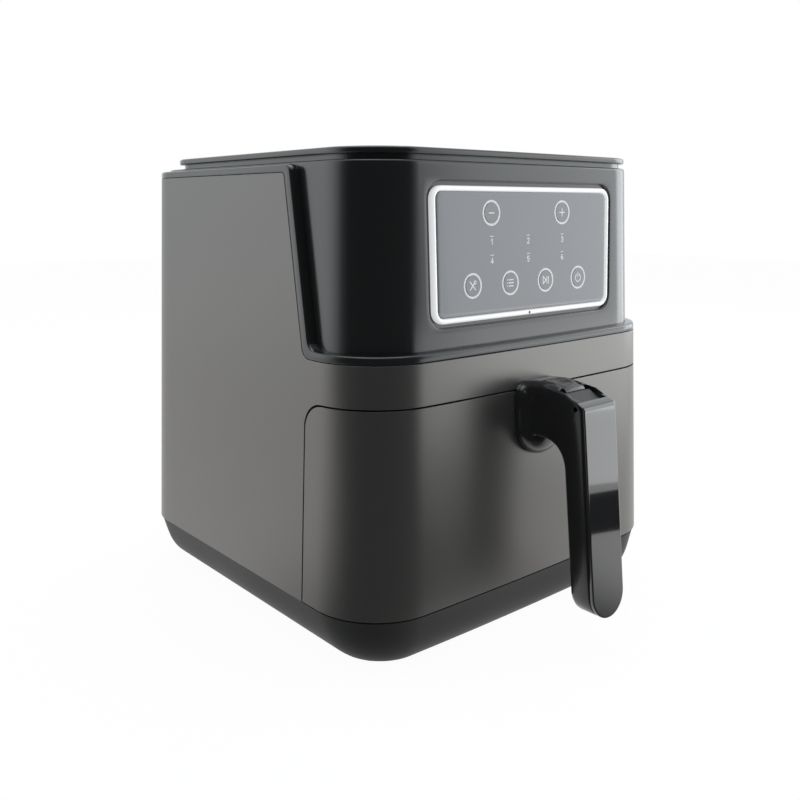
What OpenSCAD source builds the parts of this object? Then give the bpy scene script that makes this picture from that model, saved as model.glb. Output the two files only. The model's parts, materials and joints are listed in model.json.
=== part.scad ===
// Drawer air fryer: a leaning housing with a black control head, a pull-out drawer
// that holds a pan and a lift-out basket, and the heater, fan and boards above them.
// Millimetres, +Z up. The modules are drawn round the middle of the housing's foot print,
// and in_row_frame() moves them so that the origin is the middle of the whole outline.

/* [Housing] */
// Width of the housing at the seam above the base
body_w = 293; // [288:1:305]
// Depth of the housing at the seam above the base
body_d = 291; // [289:1:305]
// Height of the whole appliance, feet included
body_h = 310; // [305:1:330]
// Inward lean of every side of the housing, in degrees
draft_deg = 2.75; // [2:0.25:3]
// Radius of the two front corners at the seam
front_r = 46; // [42:1:50]
// Radius of the two rear corners at the seam
rear_r = 40; // [36:1:46]
// How far the front bows out at its middle
crown = 3.6; // [2:0.2:4.4]
// Wall of the outer shell
shell_wall = 2.5; // [2:0.1:3]
// Height of the seam between base and shell
seam_h = 36; // [35:0.5:38]
// Open line between neighbouring housing parts
seam_gap = 0.5; // [0.3:0.1:0.8]

/* [Base and feet] */
// Height of a rubber foot
foot_h = 4; // [3:0.5:5]
// Radius of a rubber foot
foot_r = 9; // [7:0.5:10]
// Wall and floor of the base tray
base_wall = 2.6; // [2.2:0.1:3]
// How far the base draws in steadily from its lip to its foot
base_slope = 10; // [7:0.5:12]
// How far the base curls in on top of that, close to its foot
base_curl = 7.5; // [5:0.5:9]
// Radius of a post that carries the drawer bay
post_r = 6; // [5:0.5:8]
// Bore of the cord gland, for a round mains lead
gland_bore_r = 3.6; // [3:0.1:4]

/* [Control head and trim] */
// Height of the plain band between drawer and trim
band_h = 25.5; // [22:0.5:30]
// Height of the trim strip under the control head
trim_h = 5.3; // [4:0.1:7]
// Width of the trim strip up the sides
trim_w = 7; // [5:0.5:9]
// How far the control head stands inside the outline
head_inset = 6.1; // [5:0.1:7]
// Wall of the control head
head_wall = 2.5; // [2:0.1:3]
// How far the slanted seam's foot lies behind the front
slant_back = 58; // [50:1:66]
// Lean of the slanted seam, in degrees
slant_deg = 12; // [8:0.5:15]
// Thickness of the top plate
plate_t = 4; // [3:0.5:5]
// Height of the sunken neck under the top plate
neck_h = 3; // [2:0.5:4]
// How far the neck stands inside the top plate
neck_inset = 4; // [3:0.5:6]
// How far the top plate's rear edge lies inside the outline
plate_rear = 20.6; // [14:0.2:26]

/* [Control panel] */
// Width of the bright ring round the glass
panel_w = 165.2; // [150:0.2:172]
// Head's face under the bright ring
panel_low = 14.8; // [14.5:0.1:18]
// Head's face over the bright ring
panel_high = 13.9; // [13:0.1:18]
// Width of the ring's rim
ring_w = 3; // [2:0.1:4]
// Corner radius of the ring
panel_r = 8; // [6:0.5:12]
// Open groove round the ring
panel_groove = 2.5; // [1.5:0.1:3]
// Thickness of the touch glass
glass_t = 2.4; // [2:0.1:3]

/* [Drawer] */
// Height of the drawer front
drawer_h = 127.5; // [125:0.5:130]
// How far the drawer front wraps back round each side
drawer_wrap = 62; // [58:1:68]
// Radius of the drawer front's two upper side corners
drawer_corner_r = 13; // [8:1:18]
// Wall of the drawer front
drawer_wall = 3; // [2.5:0.1:3.5]
// How far the drawer slides out
drawer_travel = 180; // [140:5:190]
// Space between the drawer front's outer face and the plate behind it, at the seam
backing_depth = 12.5; // [11:0.5:14]
// Height of the pan
pan_h = 108; // [100:1:110]
// Sheet thickness of the pan
pan_t = 1.2; // [1:0.1:1.5]
// Corner radius of the pan
pan_r = 38; // [30:1:44]
// Thickness of the rolled rims and of the handle bracket
rim_t = 1.5; // [1.2:0.1:1.8]
// Width of the pan's flange
flange_w = 7; // [6:0.5:7.5]
// Room between basket and pan, all round
basket_room = 2.8; // [2.4:0.1:4]
// Sheet thickness of the basket
basket_t = 1; // [0.8:0.1:1.2]
// Radius of one hole in the basket floor
basket_hole_r = 2.6; // [2:0.1:3.2]
// Spacing of the holes in the basket floor
basket_pitch = 14; // [12:1:18]
// How far the basket rises before its latch would catch
basket_lift = 4; // [2:0.5:4]

/* [Drawer bay and heater] */
// Sheet thickness of bay, hood and duct
sheet_t = 1; // [0.8:0.1:1.2]
// Space between housing and bay, on each side
bay_side_room = 8.66; // [7:0.1:10]
// Space between housing and bay, at the rear
bay_rear_room = 14.66; // [12:0.1:16]
// Space between the pan and the bay's rear wall
pan_rear_room = 7; // [6:0.5:9]
// Ledge of the bay's ceiling round the heater hood
hood_ledge = 18; // [14:0.5:22]
// Height of the heater hood
hood_h = 36; // [33:1:38]
// Radius of the heating element's tube
element_tube_r = 3.2; // [2.8:0.1:3.6]
// Space between the circulation fan and the hood's wall
fan_room = 22; // [20:1:34]
// Radius of the cooling fan
cooling_r = 48; // [36:1:50]
// Space over the hood for the cooling fan
cooling_h = 15; // [14:0.5:20]
// Width of the power board
board_w = 56; // [50:1:60]
// Depth of the power board
board_d = 96; // [80:1:100]
// Thickness of the circuit boards
board_t = 1.6; // [1.2:0.1:2]
// Radius of the fan shaft
shaft_r = 3; // [2.5:0.1:4]
// Radius of the motor
motor_r = 31; // [26:1:34]
// Height of the motor
motor_h = 34; // [28:1:40]

/* [Handle] */
// How far the grip's top stands out from the drawer front
handle_reach = 50.5; // [46:0.5:56]
// Width of the grip
grip_w = 30.8; // [28:0.2:34]
// Thickness of the grip, front strip included
grip_t = 16.8; // [15:0.2:19]
// Outward lean of the grip, in degrees
grip_lean = 7; // [5:0.5:8]
// Height of the grip's lowest point
grip_foot = 24.6; // [20:0.2:34]
// Thickness of the glossy front strip
strip_t = 2.6; // [2:0.1:3.2]
// Width of the handle where it meets the drawer
root_w = 43; // [40:0.5:48]
// Radius of the release button's pivot pin
pin_r = 1.5; // [1.2:0.1:1.8]
// How far the button guard slides
guard_travel = 14; // [8:0.5:14]

/* [Hidden] */
$fn = 64;
far = 400;                    // larger than the appliance, for cutters
fit = 0.1;                    // air between parts that seat in one another
run = 0.4;                    // air between parts that move past one another
shaft_air = 0.05;             // radial air of a shaft in its bore
draft = tan(draft_deg);

// Levels, from the feet up
drawer_z = seam_h + drawer_h;                  // line over the drawer
trim_z = drawer_z + band_h;                    // lower edge of the trim
head_z = trim_z + trim_h;                      // lower edge of the control head
head_top = body_h - plate_t - neck_h;
trim_top = head_top - 1.6;
shell_top = trim_top - 4.7;
bay_z = seam_h + 4;                            // underside of the bay floor
ceiling_z = drawer_z + 4.5;                    // underside of the bay ceiling
pan_top = drawer_z - 7.5;
pan_z = pan_top - pan_h;
rim_z = pan_top + 0.3;                         // underside of the basket's rim
bracket_z = rim_z + rim_t;                     // underside of the handle bracket
basket_z = pan_z + 8;

// The leaning housing
function body_w_at(z) = body_w - 2 * draft * (z - seam_h);
function body_d_at(z) = body_d - 2 * draft * (z - seam_h);
function lean_scale(z) = body_w_at(z) / body_w;
function front_y(z) = -body_d_at(z) / 2 - crown;
function rear_y(z) = body_d_at(z) / 2;

// Bay, pan and basket, from the housing inwards
backing_t = 4;
bay_w = body_w_at(ceiling_z) - 2 * (shell_wall + bay_side_room + sheet_t);
backing_y = -body_d / 2 + backing_depth;       // outer face of the backing plate
drawer_edge_y = -body_d / 2 + drawer_wrap;     // rear edge of the drawer front's sides
bay_front = drawer_edge_y + 6.5;
bay_rear = rear_y(ceiling_z) - shell_wall - bay_rear_room - sheet_t;
pan_front = backing_y + backing_t + flange_w;
pan_w = bay_w - 2 * (flange_w + 3);
pan_d = bay_rear - pan_rear_room - pan_front;
pan_y = pan_front + pan_d / 2;                 // middle of the pan, and of the fans
basket_w = pan_w - 2 * pan_t - 2 * basket_room;
basket_d = pan_d - 2 * pan_t - 2 * basket_room;
basket_r = pan_r - pan_t - basket_room;
basket_front = pan_y - basket_d / 2;
hood_r = min(pan_w, pan_d) / 2 - hood_ledge;
fan_r = hood_r - fan_room;

// Handle places
grip_top = drawer_z - 3.5;
function grip_y(z) = front_y(grip_top) - handle_reach - (grip_top - z) * tan(grip_lean);
reach_y = grip_y(grip_foot);
shift_y = (-reach_y - rear_y(seam_h)) / 2;     // from housing middle to row origin
arm_top = drawer_z + 8;
root_cz = grip_top - 19;                       // centre of the root's round lower end
well_front = grip_y(grip_top) + strip_t + 1.2;
button_hub_r = 2.7;
pin_y = well_front + run + button_hub_r;
pin_z = grip_top - 2;
bracket_w = 28;
lever_y = front_y(bracket_z) + 6.2;            // pivot of the latch lever, under the bracket
lever_z = bracket_z - 6.8;
press_y = lever_y - 18;                        // where the button pushes the lever

// One level of the housing's outline, drawn in by inset and by rear_in more at the rear
corner_steps = 12;
front_steps = 8;
function arc(c, r, a0, a1, n) =
    [for (i = [0:n]) c + r * [cos(a0 + (a1 - a0) * i / n), sin(a0 + (a1 - a0) * i / n)]];
function bow(p, half) =
    p[1] < 0 ? [p[0], p[1] - crown * max(0, 1 - pow(p[0] / half, 2))] : p;
function outline(z, inset, rear_in = 0) =
    let (
        half = body_w_at(z) / 2,
        w = half - inset,
        y0 = -body_d_at(z) / 2 + inset,
        y1 = body_d_at(z) / 2 - inset - rear_in,
        rf = front_r * lean_scale(z) - inset,
        rr = rear_r * lean_scale(z) - inset,
        front = [for (i = [1:front_steps - 1])
            [-w + rf + (2 * w - 2 * rf) * i / front_steps, y0]],
        ring = concat(
            arc([w - rf, y0 + rf], rf, -90, 0, corner_steps),
            arc([w - rr, y1 - rr], rr, 0, 90, corner_steps),
            arc([-w + rr, y1 - rr], rr, 90, 180, corner_steps),
            arc([-w + rf, y0 + rf], rf, 180, 270, corner_steps),
            front)
    )
    [for (p = ring) bow(p, half)];

// A closed solid through a stack of levels, each [z, inset, rear_in]
module loft(levels) {
    rings = [for (l = levels) [for (p = outline(l[0], l[1], len(l) > 2 ? l[2] : 0)) [p[0], p[1], l[0]]]];
    n = len(rings[0]);
    last = (len(levels) - 1) * n;
    sides = [for (k = [0:len(levels) - 2], i = [0:n - 1], half = [0:1])
        let (a = k * n + i, b = k * n + (i + 1) % n)
        half == 0 ? [a, a + n, b + n] : [a, b + n, b]];
    polyhedron(
        points = [for (r = rings, p = r) p],
        faces = concat([[for (i = [0:n - 1]) i]], sides, [[for (i = [n - 1:-1:0]) last + i]]),
        convexity = 4);
}
module block(z0, z1, inset) loft([[z0, inset], [z1, inset]]);
module wall(z0, z1, outer, inner) {
    difference() {
        block(z0, z1, outer);
        block(z0 - 1, z1 + 1, inner);
    }
}

// Plain shapes
module box(lo, hi) translate(lo) cube(hi - lo);
module rod(r, z0, z1) translate([0, 0, z0]) cylinder(r = r, h = z1 - z0);
module rod_x(r, x0, x1) translate([x0, 0, 0]) rotate([0, 90, 0]) cylinder(r = r, h = x1 - x0);
module rod_y(r, y0, y1) translate([0, y0, 0]) rotate([-90, 0, 0]) cylinder(r = r, h = y1 - y0);
module rounded(w, d, r) {
    square([w - 2 * r, d], center = true);
    square([w, d - 2 * r], center = true);
    for (x = [-1, 1], y = [-1, 1])
        translate([x * (w / 2 - r), y * (d / 2 - r)]) circle(r = r);
}
module rounded_box(w, d, r, z0, z1)
    translate([0, 0, z0]) linear_extrude(height = z1 - z0) rounded(w, d, r);
module torus(big, small) rotate_extrude() translate([big, 0]) circle(r = small, $fn = 16);
// A side view, drawn as [y, z], given a width along X
module side_cut(width) translate([-width / 2, 0, 0]) rotate([90, 0, 90]) linear_extrude(height = width) children();
// A front view, drawn as [x, z], given a depth along Y
module front_cut(y0, y1) translate([0, y1, 0]) rotate([90, 0, 0]) linear_extrude(height = y1 - y0) children();
module in_row_frame() translate([0, shift_y, 0]) children();
module mirrored() {
    children();
    mirror([1, 0, 0]) children();
}

// Side view of what lies behind the slanted seam: ahead is how far forward the line is moved
seam_foot_y = -body_d_at(trim_z) / 2 + slant_back;
function seam_y(z, ahead) = seam_foot_y - ahead + (z - trim_z) * tan(slant_deg);
function behind_seam(ahead, low, top, low_r, top_r) = concat(
    [[-far, 0], [-far, low]],
    arc([seam_y(low + low_r, ahead) - low_r / cos(slant_deg), low + low_r], low_r, 270, 360 - slant_deg, 8),
    arc([seam_y(top - top_r, ahead) + top_r / cos(slant_deg), top - top_r], top_r, 180 - slant_deg, 90, 8),
    [[far, top], [far, 0]]);
// Side view of the drawer front, grown by grow on its rear and upper edges
function drawer_view(grow) = concat(
    [[drawer_edge_y + grow, 0]],
    arc([drawer_edge_y + grow - drawer_corner_r, drawer_z + grow - drawer_corner_r], drawer_corner_r, 0, 90, 8),
    [[-far, drawer_z + grow], [-far, 0]]);

// ---------------------------------------------------------------- base
function base_level(z) = let (t = (seam_h - z) / (seam_h - foot_h)) 0.8 + base_slope * t + base_curl * pow(t, 5);
base_lip = seam_h - seam_gap;
base_steps = [foot_h, foot_h + 2, foot_h + 5, foot_h + 9, foot_h + 14, foot_h + 20, foot_h + 26, base_lip];
base_inner = concat([foot_h + base_wall], [for (z = base_steps) if (z > foot_h + base_wall + 1) z]);
foot_at = body_w / 2 - front_r + 12.4;
foot_front_y = -body_d / 2 + front_r - 12.4;
foot_rear_y = body_d / 2 - rear_r + 8;
post_x = bay_w / 2 - 16;
posts = [for (x = [-post_x, post_x], y = [bay_front + 18, bay_rear - 34]) [x, y]];
gland_x = -90;
gland_z = 20;
gland_face = rear_y(gland_z) - base_level(gland_z);
gland_body_r = gland_bore_r + 2.5;
gland_flange_r = gland_bore_r + 5.4;
gland_flange_t = 2.4;
gland_length = 12;
screw_r = 2;
screw_head_r = 3.8;
screw_head_t = 1.8;

module base_tray() {
    color([0.09, 0.09, 0.095]) in_row_frame() {
        difference() {
            loft([for (z = base_steps) [z, base_level(z)]]);
            loft([for (z = base_inner) [z == base_lip ? z + 1 : z, base_level(z) + base_wall]]);
            for (p = posts) translate([p[0], p[1], 0]) {
                rod(screw_head_r, 0, foot_h + screw_head_t);
                rod(screw_r, 0, bay_z);
            }
            translate([gland_x, 0, gland_z]) {
                rod_y(gland_body_r + fit, gland_face - 14, far);
                rod_y(gland_flange_r + fit, gland_face, far);
            }
            for (x = [-5:5], y = [-2:2])
                translate([x * 14, y * 26 + 10, 0]) rod_slot(10, 2, foot_h - 1, foot_h + 8);
        }
        for (p = posts) translate([p[0], p[1], 0]) difference() {
            rod(post_r, foot_h + 1, bay_z);
            rod(screw_r, 0, bay_z + 1);
            rod(screw_head_r, 0, foot_h + screw_head_t);
        }
    }
}
// A round-ended slot along Y
module rod_slot(length, r, z0, z1) {
    for (y = [-1, 1]) translate([0, y * length / 2, 0]) rod(r, z0, z1);
    box([-r, -length / 2, z0], [r, length / 2, z1]);
}
module rubber_feet() {
    color([0.05, 0.05, 0.05]) in_row_frame()
        for (p = [[foot_at, foot_front_y], [-foot_at, foot_front_y], [foot_at, foot_rear_y], [-foot_at, foot_rear_y]])
            translate([p[0], p[1], 0]) difference() {
                rod(foot_r, 0, foot_h);
                rod(foot_r * 0.45, -1, foot_h * 0.4);
            }
}
module base_screws() {
    color([0.6, 0.6, 0.62]) in_row_frame() for (p = posts) translate([p[0], p[1], 0]) difference() {
        union() {
            rod(screw_head_r - fit, foot_h, foot_h + screw_head_t);
            rod(screw_r, foot_h + screw_head_t, bay_z + sheet_t);
        }
        box([-0.5, -2.6, foot_h - 1], [0.5, 2.6, foot_h + 1]);
        box([-2.6, -0.5, foot_h - 1], [2.6, 0.5, foot_h + 1]);
    }
}
module cord_gland() {
    color([0.06, 0.06, 0.06]) in_row_frame() translate([gland_x, 0, gland_z]) difference() {
        union() {
            rod_y(gland_body_r, gland_face - gland_length, gland_face);
            rod_y(gland_flange_r, gland_face, gland_face + gland_flange_t);
            rod_y(gland_body_r + 1.5, gland_face - gland_length, gland_face - gland_length + 5);
        }
        rod_y(gland_bore_r, gland_face - gland_length - 1, gland_face + gland_flange_t + 1);
    }
}

// ---------------------------------------------------------------- housing
vent_w = body_w * 0.355;
vent_z0 = ceiling_z + 4;
vent_z1 = trim_z - 1;
slot_w = 4;
slot_pitch = 10;
slot_h = 44;
slot_z1 = shell_top - 22.7;
slot_z0 = slot_z1 - slot_h;
module rear_slots()
    for (x = [-6:6]) translate([x * slot_pitch, 0, 0])
        box([-slot_w / 2, rear_y(slot_z0) - 16, slot_z0], [slot_w / 2, far, slot_z1]);
module outer_shell() {
    color([0.29, 0.29, 0.29]) in_row_frame() difference() {
        intersection() {
            wall(seam_h, shell_top, 0, shell_wall);
            side_cut(far) polygon(behind_seam(0, trim_z, shell_top, 8, 3));
        }
        side_cut(far) polygon(drawer_view(seam_gap));
        box([-vent_w / 2, 0, vent_z0], [vent_w / 2, far, vent_z1]);
        rear_slots();
    }
}
module trim_frame() {
    color([0.05, 0.05, 0.05]) in_row_frame() intersection() {
        wall(trim_z + fit, trim_top, 0, head_inset - fit);
        side_cut(far) difference() {
            polygon(behind_seam(trim_w, head_z, trim_top, 8, 5));
            polygon(behind_seam(fit, trim_z + fit, shell_top + fit, 8, 3));
        }
    }
}
deck_z = ceiling_z + sheet_t + hood_h + cooling_h;
deck_t = 1.5;
ledge_h = 8;
ledge_l = 24;
ledge_x = body_w_at(deck_z) / 2 - head_inset - head_wall - 17;
panel_h = head_top - panel_high - head_z - panel_low;
panel_z = head_z + panel_low + panel_h / 2;
panel_y = front_y(panel_z) + head_inset + 0.9;
module on_panel() translate([0, panel_y, panel_z]) rotate([-draft_deg, 0, 0]) children();
module panel_plate(w, h, r, y0, y1) on_panel() front_cut(y0, y1) rounded(w, h, r);
module control_head() {
    color([0.03, 0.03, 0.03]) in_row_frame() difference() {
        union() {
            wall(head_z, head_top, head_inset, head_inset + head_wall);
            block(head_top - head_wall, head_top, head_inset);
            intersection() {
                block(head_z, head_top, head_inset + head_wall / 2);
                union() {
                    panel_plate(panel_w + 16, panel_h + 20, panel_r, -8, 6.5);
                    for (y = [pan_y - 48, pan_y + 74]) mirrored()
                        box([ledge_x, y, deck_z - ledge_h], [far, y + ledge_l, deck_z]);
                }
            }
        }
        panel_plate(panel_w + 2 * panel_groove, panel_h + 2 * panel_groove, panel_r + panel_groove, -20, glass_t + 0.2);
        panel_plate(panel_w - 24, panel_h * 0.75, 3, -1, 20);
        rear_slots();
    }
}
module top_cover() {
    color([0.04, 0.04, 0.04]) in_row_frame() {
        loft([[head_top + neck_h, head_inset + 1.2, plate_rear - head_inset],
            [head_top + neck_h + 0.7, head_inset + 0.4, plate_rear - head_inset],
            [body_h - 1.1, head_inset + 0.4, plate_rear - head_inset],
            [body_h - 0.3, head_inset + 1.1, plate_rear - head_inset],
            [body_h, head_inset + 2.3, plate_rear - head_inset]]);
        loft([[head_top, head_inset + neck_inset, plate_rear - head_inset],
            [head_top + neck_h, head_inset + neck_inset, plate_rear - head_inset]]);
    }
}
module vent_grille() {
    rows = 5;
    pitch = (vent_z1 - vent_z0 - 3) / rows;
    color([0.05, 0.05, 0.05]) in_row_frame() intersection() {
        wall(vent_z0 - 1, vent_z1 + 1, 0.4, shell_wall);
        difference() {
            box([-vent_w / 2 + fit, 0, vent_z0 + fit], [vent_w / 2 - fit, far, vent_z1 - fit]);
            for (k = [0:rows - 1], x = [-1.5:1.5])
                translate([x * vent_w / 4.3, 0, vent_z0 + 2.4 + k * pitch])
                    box([-10.5, 0, 0], [10.5, far, pitch * 0.6]);
        }
    }
}
module panel_ring() {
    color([0.93, 0.93, 0.93]) in_row_frame() difference() {
        panel_plate(panel_w, panel_h, panel_r, -1, glass_t + 0.2);
        panel_plate(panel_w - 2 * ring_w, panel_h - 2 * ring_w, panel_r - ring_w, -4, 10);
    }
}
module touch_glass() {
    color([0.16, 0.165, 0.18]) in_row_frame()
        panel_plate(panel_w - 2 * ring_w - 2 * fit, panel_h - 2 * ring_w - 2 * fit, panel_r - ring_w - fit, 0, glass_t + 0.2);
}
module display_board() {
    color([0.05, 0.25, 0.12]) in_row_frame() {
        panel_plate(panel_w - 4, panel_h - 8, 4, 6.5, 6.5 + board_t);
        on_panel() for (x = [-1, 1]) translate([x * panel_w * 0.2, 0, panel_h * 0.25]) rod_y(panel_h * 0.085, 3.2, 6.5);
        on_panel() for (x = [-1.5:1.5]) translate([x * panel_w * 0.2, 0, -panel_h * 0.25]) rod_y(panel_h * 0.085, 3.2, 6.5);
    }
}

// ---------------------------------------------------------------- drawer bay
module bay_liner() {
    color([0.55, 0.55, 0.56]) in_row_frame() difference() {
        box([-bay_w / 2 - sheet_t, bay_front, bay_z], [bay_w / 2 + sheet_t, bay_rear + sheet_t, ceiling_z]);
        box([-bay_w / 2, bay_front - 1, bay_z + sheet_t], [bay_w / 2, bay_rear, ceiling_z + 1]);
        for (p = posts) translate([p[0], p[1], 0]) rod(screw_r, bay_z - 1, bay_z + 2);
    }
}
frame_t = 3;
module bay_frame() {
    color([0.07, 0.07, 0.07]) in_row_frame() difference() {
        intersection() {
            block(base_lip, ceiling_z, shell_wall + fit);
            box([-far, bay_front - frame_t, seam_h + 0.8], [far, bay_front, ceiling_z]);
        }
        box([-bay_w / 2 + 1.5, -far, bay_z + sheet_t], [bay_w / 2 - 1.5, far, ceiling_z + 1]);
    }
}
module bay_ceiling() {
    color([0.6, 0.6, 0.61]) in_row_frame() difference() {
        translate([0, 0, ceiling_z]) linear_extrude(height = sheet_t)
            intersection() {
                polygon(outline(ceiling_z, shell_wall + 0.3));
                translate([-far, -far]) square([2 * far, far + bay_rear + sheet_t]);
            }
        translate([0, pan_y, 0]) rod(hood_r, ceiling_z - 1, ceiling_z + 3);
        translate([switch_x, switch_y, 0]) rod(2.4, ceiling_z - 1, ceiling_z + 3);
    }
}
rail_h = 10;
rail_z = pan_top - rim_t - 4.5;
rail_x = pan_w / 2 + 2.5;                      // inner edge of a rail
module rail() {
    difference() {
        box([rail_x, bay_front + 1, rail_z], [bay_w / 2, bay_rear - 2, rail_z + rail_h]);
        box([0, bay_front, pan_top - rim_t - run], [pan_w / 2 + flange_w + 1, bay_rear, pan_top + run]);
    }
}
module right_rail() color([0.62, 0.62, 0.63]) in_row_frame() rail();
module left_rail() color([0.62, 0.62, 0.63]) in_row_frame() mirror([1, 0, 0]) rail();

// ---------------------------------------------------------------- heater
hood_z = ceiling_z + sheet_t;
hood_top = hood_z + hood_h;
duct_w = 64;
duct_z0 = vent_z0 + 1;
duct_z1 = vent_z1 - 1;
element_z = ceiling_z + 10;
element_rings = [hood_r - 30, hood_r - 12];
leg_x = 9;                                     // half the space between the element's two legs
function ring_y(k) = sqrt(pow(element_rings[k], 2) - pow(leg_x, 2));
leg_y = -ring_y(1);
module at_fan() translate([0, pan_y, 0]) children();
module heater_hood() {
    color([0.66, 0.66, 0.66]) in_row_frame() at_fan() difference() {
        rotate_extrude() polygon([
            [hood_r + 8, hood_z], [hood_r + 8, hood_z + sheet_t], [hood_r + sheet_t, hood_z + sheet_t],
            [hood_r + sheet_t, hood_top], [shaft_r + 3, hood_top], [shaft_r + 3, hood_top - sheet_t],
            [hood_r, hood_top - sheet_t], [hood_r, hood_z]]);
        box([-duct_w / 2 + sheet_t, 0, duct_z0 + sheet_t], [duct_w / 2 - sheet_t, far, duct_z1 - sheet_t]);
        for (x = [-leg_x, leg_x]) translate([x, leg_y, 0]) rod(element_tube_r, hood_z, hood_top + 1);
        rotate(135) translate([0, 0, sensor_z]) rod_y(2.1, hood_r - 5, far);
    }
}
module exhaust_duct() {
    color([0.5, 0.5, 0.5]) in_row_frame() difference() {
        intersection() {
            box([-duct_w / 2, pan_y, duct_z0], [duct_w / 2, far, duct_z1]);
            block(duct_z0 - 1, duct_z1 + 1, shell_wall + fit);
        }
        box([-duct_w / 2 + sheet_t, 0, duct_z0 + sheet_t], [duct_w / 2 - sheet_t, far, duct_z1 - sheet_t]);
        at_fan() rod(hood_r + sheet_t, duct_z0 - 1, duct_z1 + 1);
    }
}
module heating_element() {
    color([0.3, 0.28, 0.27]) in_row_frame() at_fan() {
        difference() {
            union() for (r = element_rings) translate([0, 0, element_z]) torus(r, element_tube_r);
            box([-leg_x, -far, element_z - 8], [leg_x, leg_y + 8, element_z + 8]);
            box([-leg_x, 0, element_z - 8], [leg_x, far, element_z + 8]);
        }
        for (x = [-leg_x, leg_x]) {
            translate([x, leg_y, 0]) rod(element_tube_r, element_z, hood_top + 14);
            translate([x, 0, element_z]) rod_y(element_tube_r, ring_y(0), ring_y(1));
        }
    }
}
module element_bushes() {
    color([0.9, 0.88, 0.82]) in_row_frame() at_fan()
        for (x = [-leg_x, leg_x]) translate([x, leg_y, 0]) difference() {
            rod(6, hood_top, hood_top + 7);
            rod(element_tube_r, hood_top - 1, hood_top + 8);
        }
}
module element_clips() {
    color([0.7, 0.7, 0.7]) in_row_frame() at_fan() difference() {
        for (a = [30, 150, 270]) rotate(a) box([element_rings[1] - 3, -5, element_z], [element_rings[1] + 3, 5, hood_top - sheet_t]);
        for (r = element_rings) translate([0, 0, element_z]) torus(r, element_tube_r);
        rod(far, 0, element_z + 0.5);
    }
}
guard_wire_r = 1.25;
guard_z = ceiling_z - guard_wire_r;
module element_guard() {
    color([0.75, 0.75, 0.75]) in_row_frame() at_fan() {
        for (r = [hood_r * 0.24, hood_r * 0.48, hood_r * 0.72, hood_r - 4]) translate([0, 0, guard_z - 1.5 * guard_wire_r]) torus(r, guard_wire_r, $fn = 40);
        for (a = [0:45:315]) rotate(a) translate([0, 0, guard_z]) rod_x(guard_wire_r, hood_r * 0.22, hood_r + 6, $fn = 16);
    }
}
sensor_z = ceiling_z + 20;
module temperature_sensor() {
    color([0.8, 0.8, 0.8]) in_row_frame() at_fan() rotate(135) translate([0, 0, sensor_z]) {
        rod_y(2.1, hood_r - 14, hood_r + 14);
        rod_y(4.5, hood_r + sheet_t + 0.6, hood_r + 8);
    }
}
module thermal_cutoff() {
    color([0.85, 0.82, 0.75]) in_row_frame() at_fan() translate([hood_r * 0.72, hood_r * 0.3, hood_top]) {
        rod(8, 0, 5);
        rod(4, 5, 8);
        for (x = [-5, 5]) translate([x, 0, 0]) box([-1, -3, 5], [1, 3, 10]);
    }
}

// ---------------------------------------------------------------- fans, motor, boards
module fan_shroud() {
    color([0.45, 0.45, 0.46]) in_row_frame() at_fan() difference() {
        rod(cooling_r + 6, hood_top, deck_z);
        rod(cooling_r + 6 - sheet_t, hood_top - 1, deck_z + 1);
        box([-cooling_r / 2, 0, hood_top + 1], [cooling_r / 2, far, deck_z - 1]);
    }
}
module equipment_deck() {
    color([0.5, 0.5, 0.51]) in_row_frame() difference() {
        translate([0, 0, deck_z]) linear_extrude(height = deck_t) intersection() {
            polygon(outline(deck_z, head_inset + head_wall + 1));
            translate([-far, pan_y + leg_y - 12]) square([2 * far, rear_y(deck_z) - 18.7 - pan_y - leg_y + 12]);
        }
        at_fan() rod(motor_r + 3, deck_z - 1, deck_z + deck_t + 1);
        at_fan() for (x = [-leg_x, leg_x]) translate([x, leg_y, 0])
            rod(element_tube_r + 1.8, deck_z - 1, deck_z + deck_t + 1);
    }
}
bracket_plate_z = deck_z + deck_t;
motor_z = bracket_plate_z + rim_t;
module motor_bracket() {
    color([0.68, 0.68, 0.68]) in_row_frame() at_fan() difference() {
        rod(motor_r + 13, bracket_plate_z, motor_z);
        rod(shaft_r + 3, bracket_plate_z - 1, motor_z + 1);
        for (a = [0:60:300]) rotate(a) translate([motor_r + 1, 0, 0]) rod(4, bracket_plate_z - 1, motor_z + 1);
    }
}
module motor_body() {
    color([0.42, 0.42, 0.43]) in_row_frame() at_fan() difference() {
        union() {
            rod(motor_r, motor_z, motor_z + motor_h - 6);
            rod(motor_r - 5, motor_z + motor_h - 6, motor_z + motor_h);
            rod(9, motor_z + motor_h, motor_z + motor_h + 4);
        }
        rod(shaft_r + shaft_air, motor_z - 1, motor_z + motor_h + 5);
        for (a = [0:30:330]) rotate(a) box([motor_r - 2, -1.6, motor_z + 6], [far, 1.6, motor_z + motor_h - 12]);
    }
}
shaft_z0 = hood_top - sheet_t - 24;
fan_z0 = hood_top - sheet_t - 19;
module fan_shaft() {
    color([0.78, 0.78, 0.78]) in_row_frame() at_fan() rod(shaft_r, shaft_z0, motor_z + motor_h + 3);
}
module blades(count, r0, r1, z0, z1, pitch_deg)
    for (k = [0:count - 1]) rotate(k * 360 / count) intersection() {
        rod(r1, z0, z1);
        translate([r0, 0, (z0 + z1) / 2]) rotate([pitch_deg, 0, 0]) box([0, -0.6, -30], [r1, 0.6, 30]);
    }
module circulation_fan() {
    color([0.72, 0.72, 0.72]) in_row_frame() at_fan() difference() {
        union() {
            rod(11, fan_z0, fan_z0 + 9);
            rod(fan_r - 4, fan_z0 + 12, fan_z0 + 13);
            rod(11, fan_z0 + 8, fan_z0 + 13);
            blades(10, 16, fan_r, fan_z0, fan_z0 + 12.5, 12);
        }
        rod(shaft_r, fan_z0 - 1, fan_z0 + 20);
    }
}
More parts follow.
